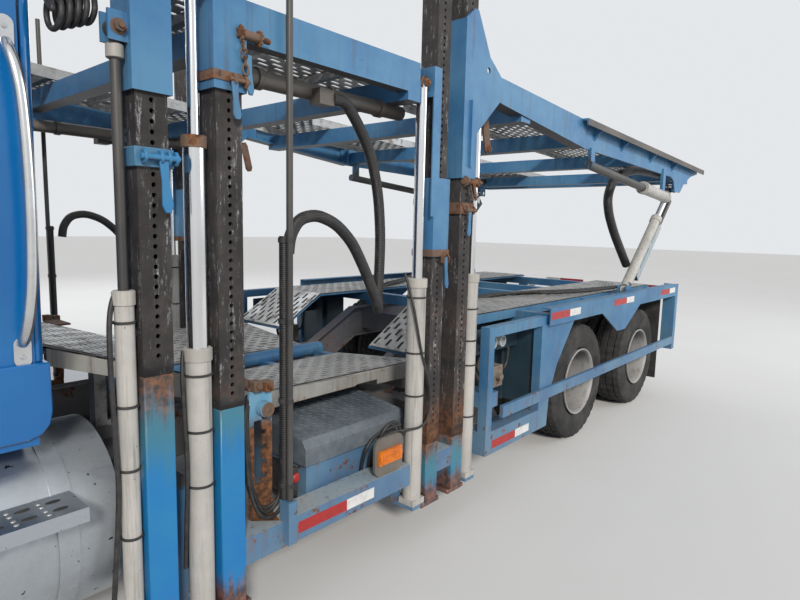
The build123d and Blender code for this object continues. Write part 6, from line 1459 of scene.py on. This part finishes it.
# %% Stage
FLOOR_REACH = 60.0
SKY, SKY_STRENGTH = (0.86, 0.92, 1.0), 0.50
BACKDROP, BACKDROP_STRENGTH = (0.78, 0.80, 0.82), 1.0
SUN_STRENGTH, SUN_ANGLE = 2.7, math.radians(9)

shade = Shade("floor_pale", Roughness=0.9)
shade.feed(shade.surface["Base Color"],
           shade.layers((0.66, 0.65, 0.63), (shade.noise(0.6), (0.72, 0.71, 0.70))))
mesh = bpy.data.meshes.new("floor")
corners = [(x * FLOOR_REACH, y * FLOOR_REACH, -0.001) for x, y in ((-1, -1), (1, -1), (1, 1), (-1, 1))]
mesh.from_pydata(corners, [], [(0, 1, 2, 3)])
mesh.materials.append(shade.material)
add_object("floor", mesh)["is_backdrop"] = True

world = bpy.data.worlds.new("world")
bpy.context.scene.world = world
world.use_nodes = True
world.node_tree.nodes.clear()
graph = Graph(world.node_tree)
camera_ray, glossy_ray, transmission_ray = (
    graph.node("ShaderNodeLightPath", output=f"Is {kind} Ray")
                                            for kind in ("Camera", "Glossy", "Transmission"))
seen = camera_ray.math("MAXIMUM", glossy_ray.math("MAXIMUM", transmission_ray))
sky = graph.node("ShaderNodeBackground", None, {"Color": SKY, "Strength": SKY_STRENGTH})
wall = graph.node("ShaderNodeBackground", None, {"Color": BACKDROP, "Strength": BACKDROP_STRENGTH})
graph.node("ShaderNodeOutputWorld", None,
           {"Surface": graph.node("ShaderNodeMixShader", None, {"Fac": seen, 1: sky, 2: wall})})


def lamp(name, kind, power, colour, aim, place=(0, 0, 0)):
    data = bpy.data.lights.new(name, kind)
    data.energy = power
    data.color = colour
    obj = add_object(name, data)
    obj.location = place
    obj.rotation_euler = (Vector(aim) - Vector(place)).to_track_quat("-Z", "Y").to_euler()
    return data


lamp("low_sun", "SUN", SUN_STRENGTH, (1.0, 0.955, 0.89), (8.0, 11.0, -7.5)).angle = SUN_ANGLE
for data, width in ((lamp("fill", "AREA", 330, (0.90, 0.95, 1.0), (1.5, 0, 1.2), (9.0, -9.0, 5.0)), 7.0),
                    (lamp("back", "AREA", 420, (0.92, 0.96, 1.0), (1.0, 0, 1.5), (2.0, 12.0, 8.0)), 9.0)):
    data.shape = "RECTANGLE"
    data.size, data.size_y = width, 5.0
print("stage set")

# %% [markdown]
# ## The dressed truck's bounds
# The bounds of all shown pieces, the floor left out, are found.

# %% Sizes, and finish
low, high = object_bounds()
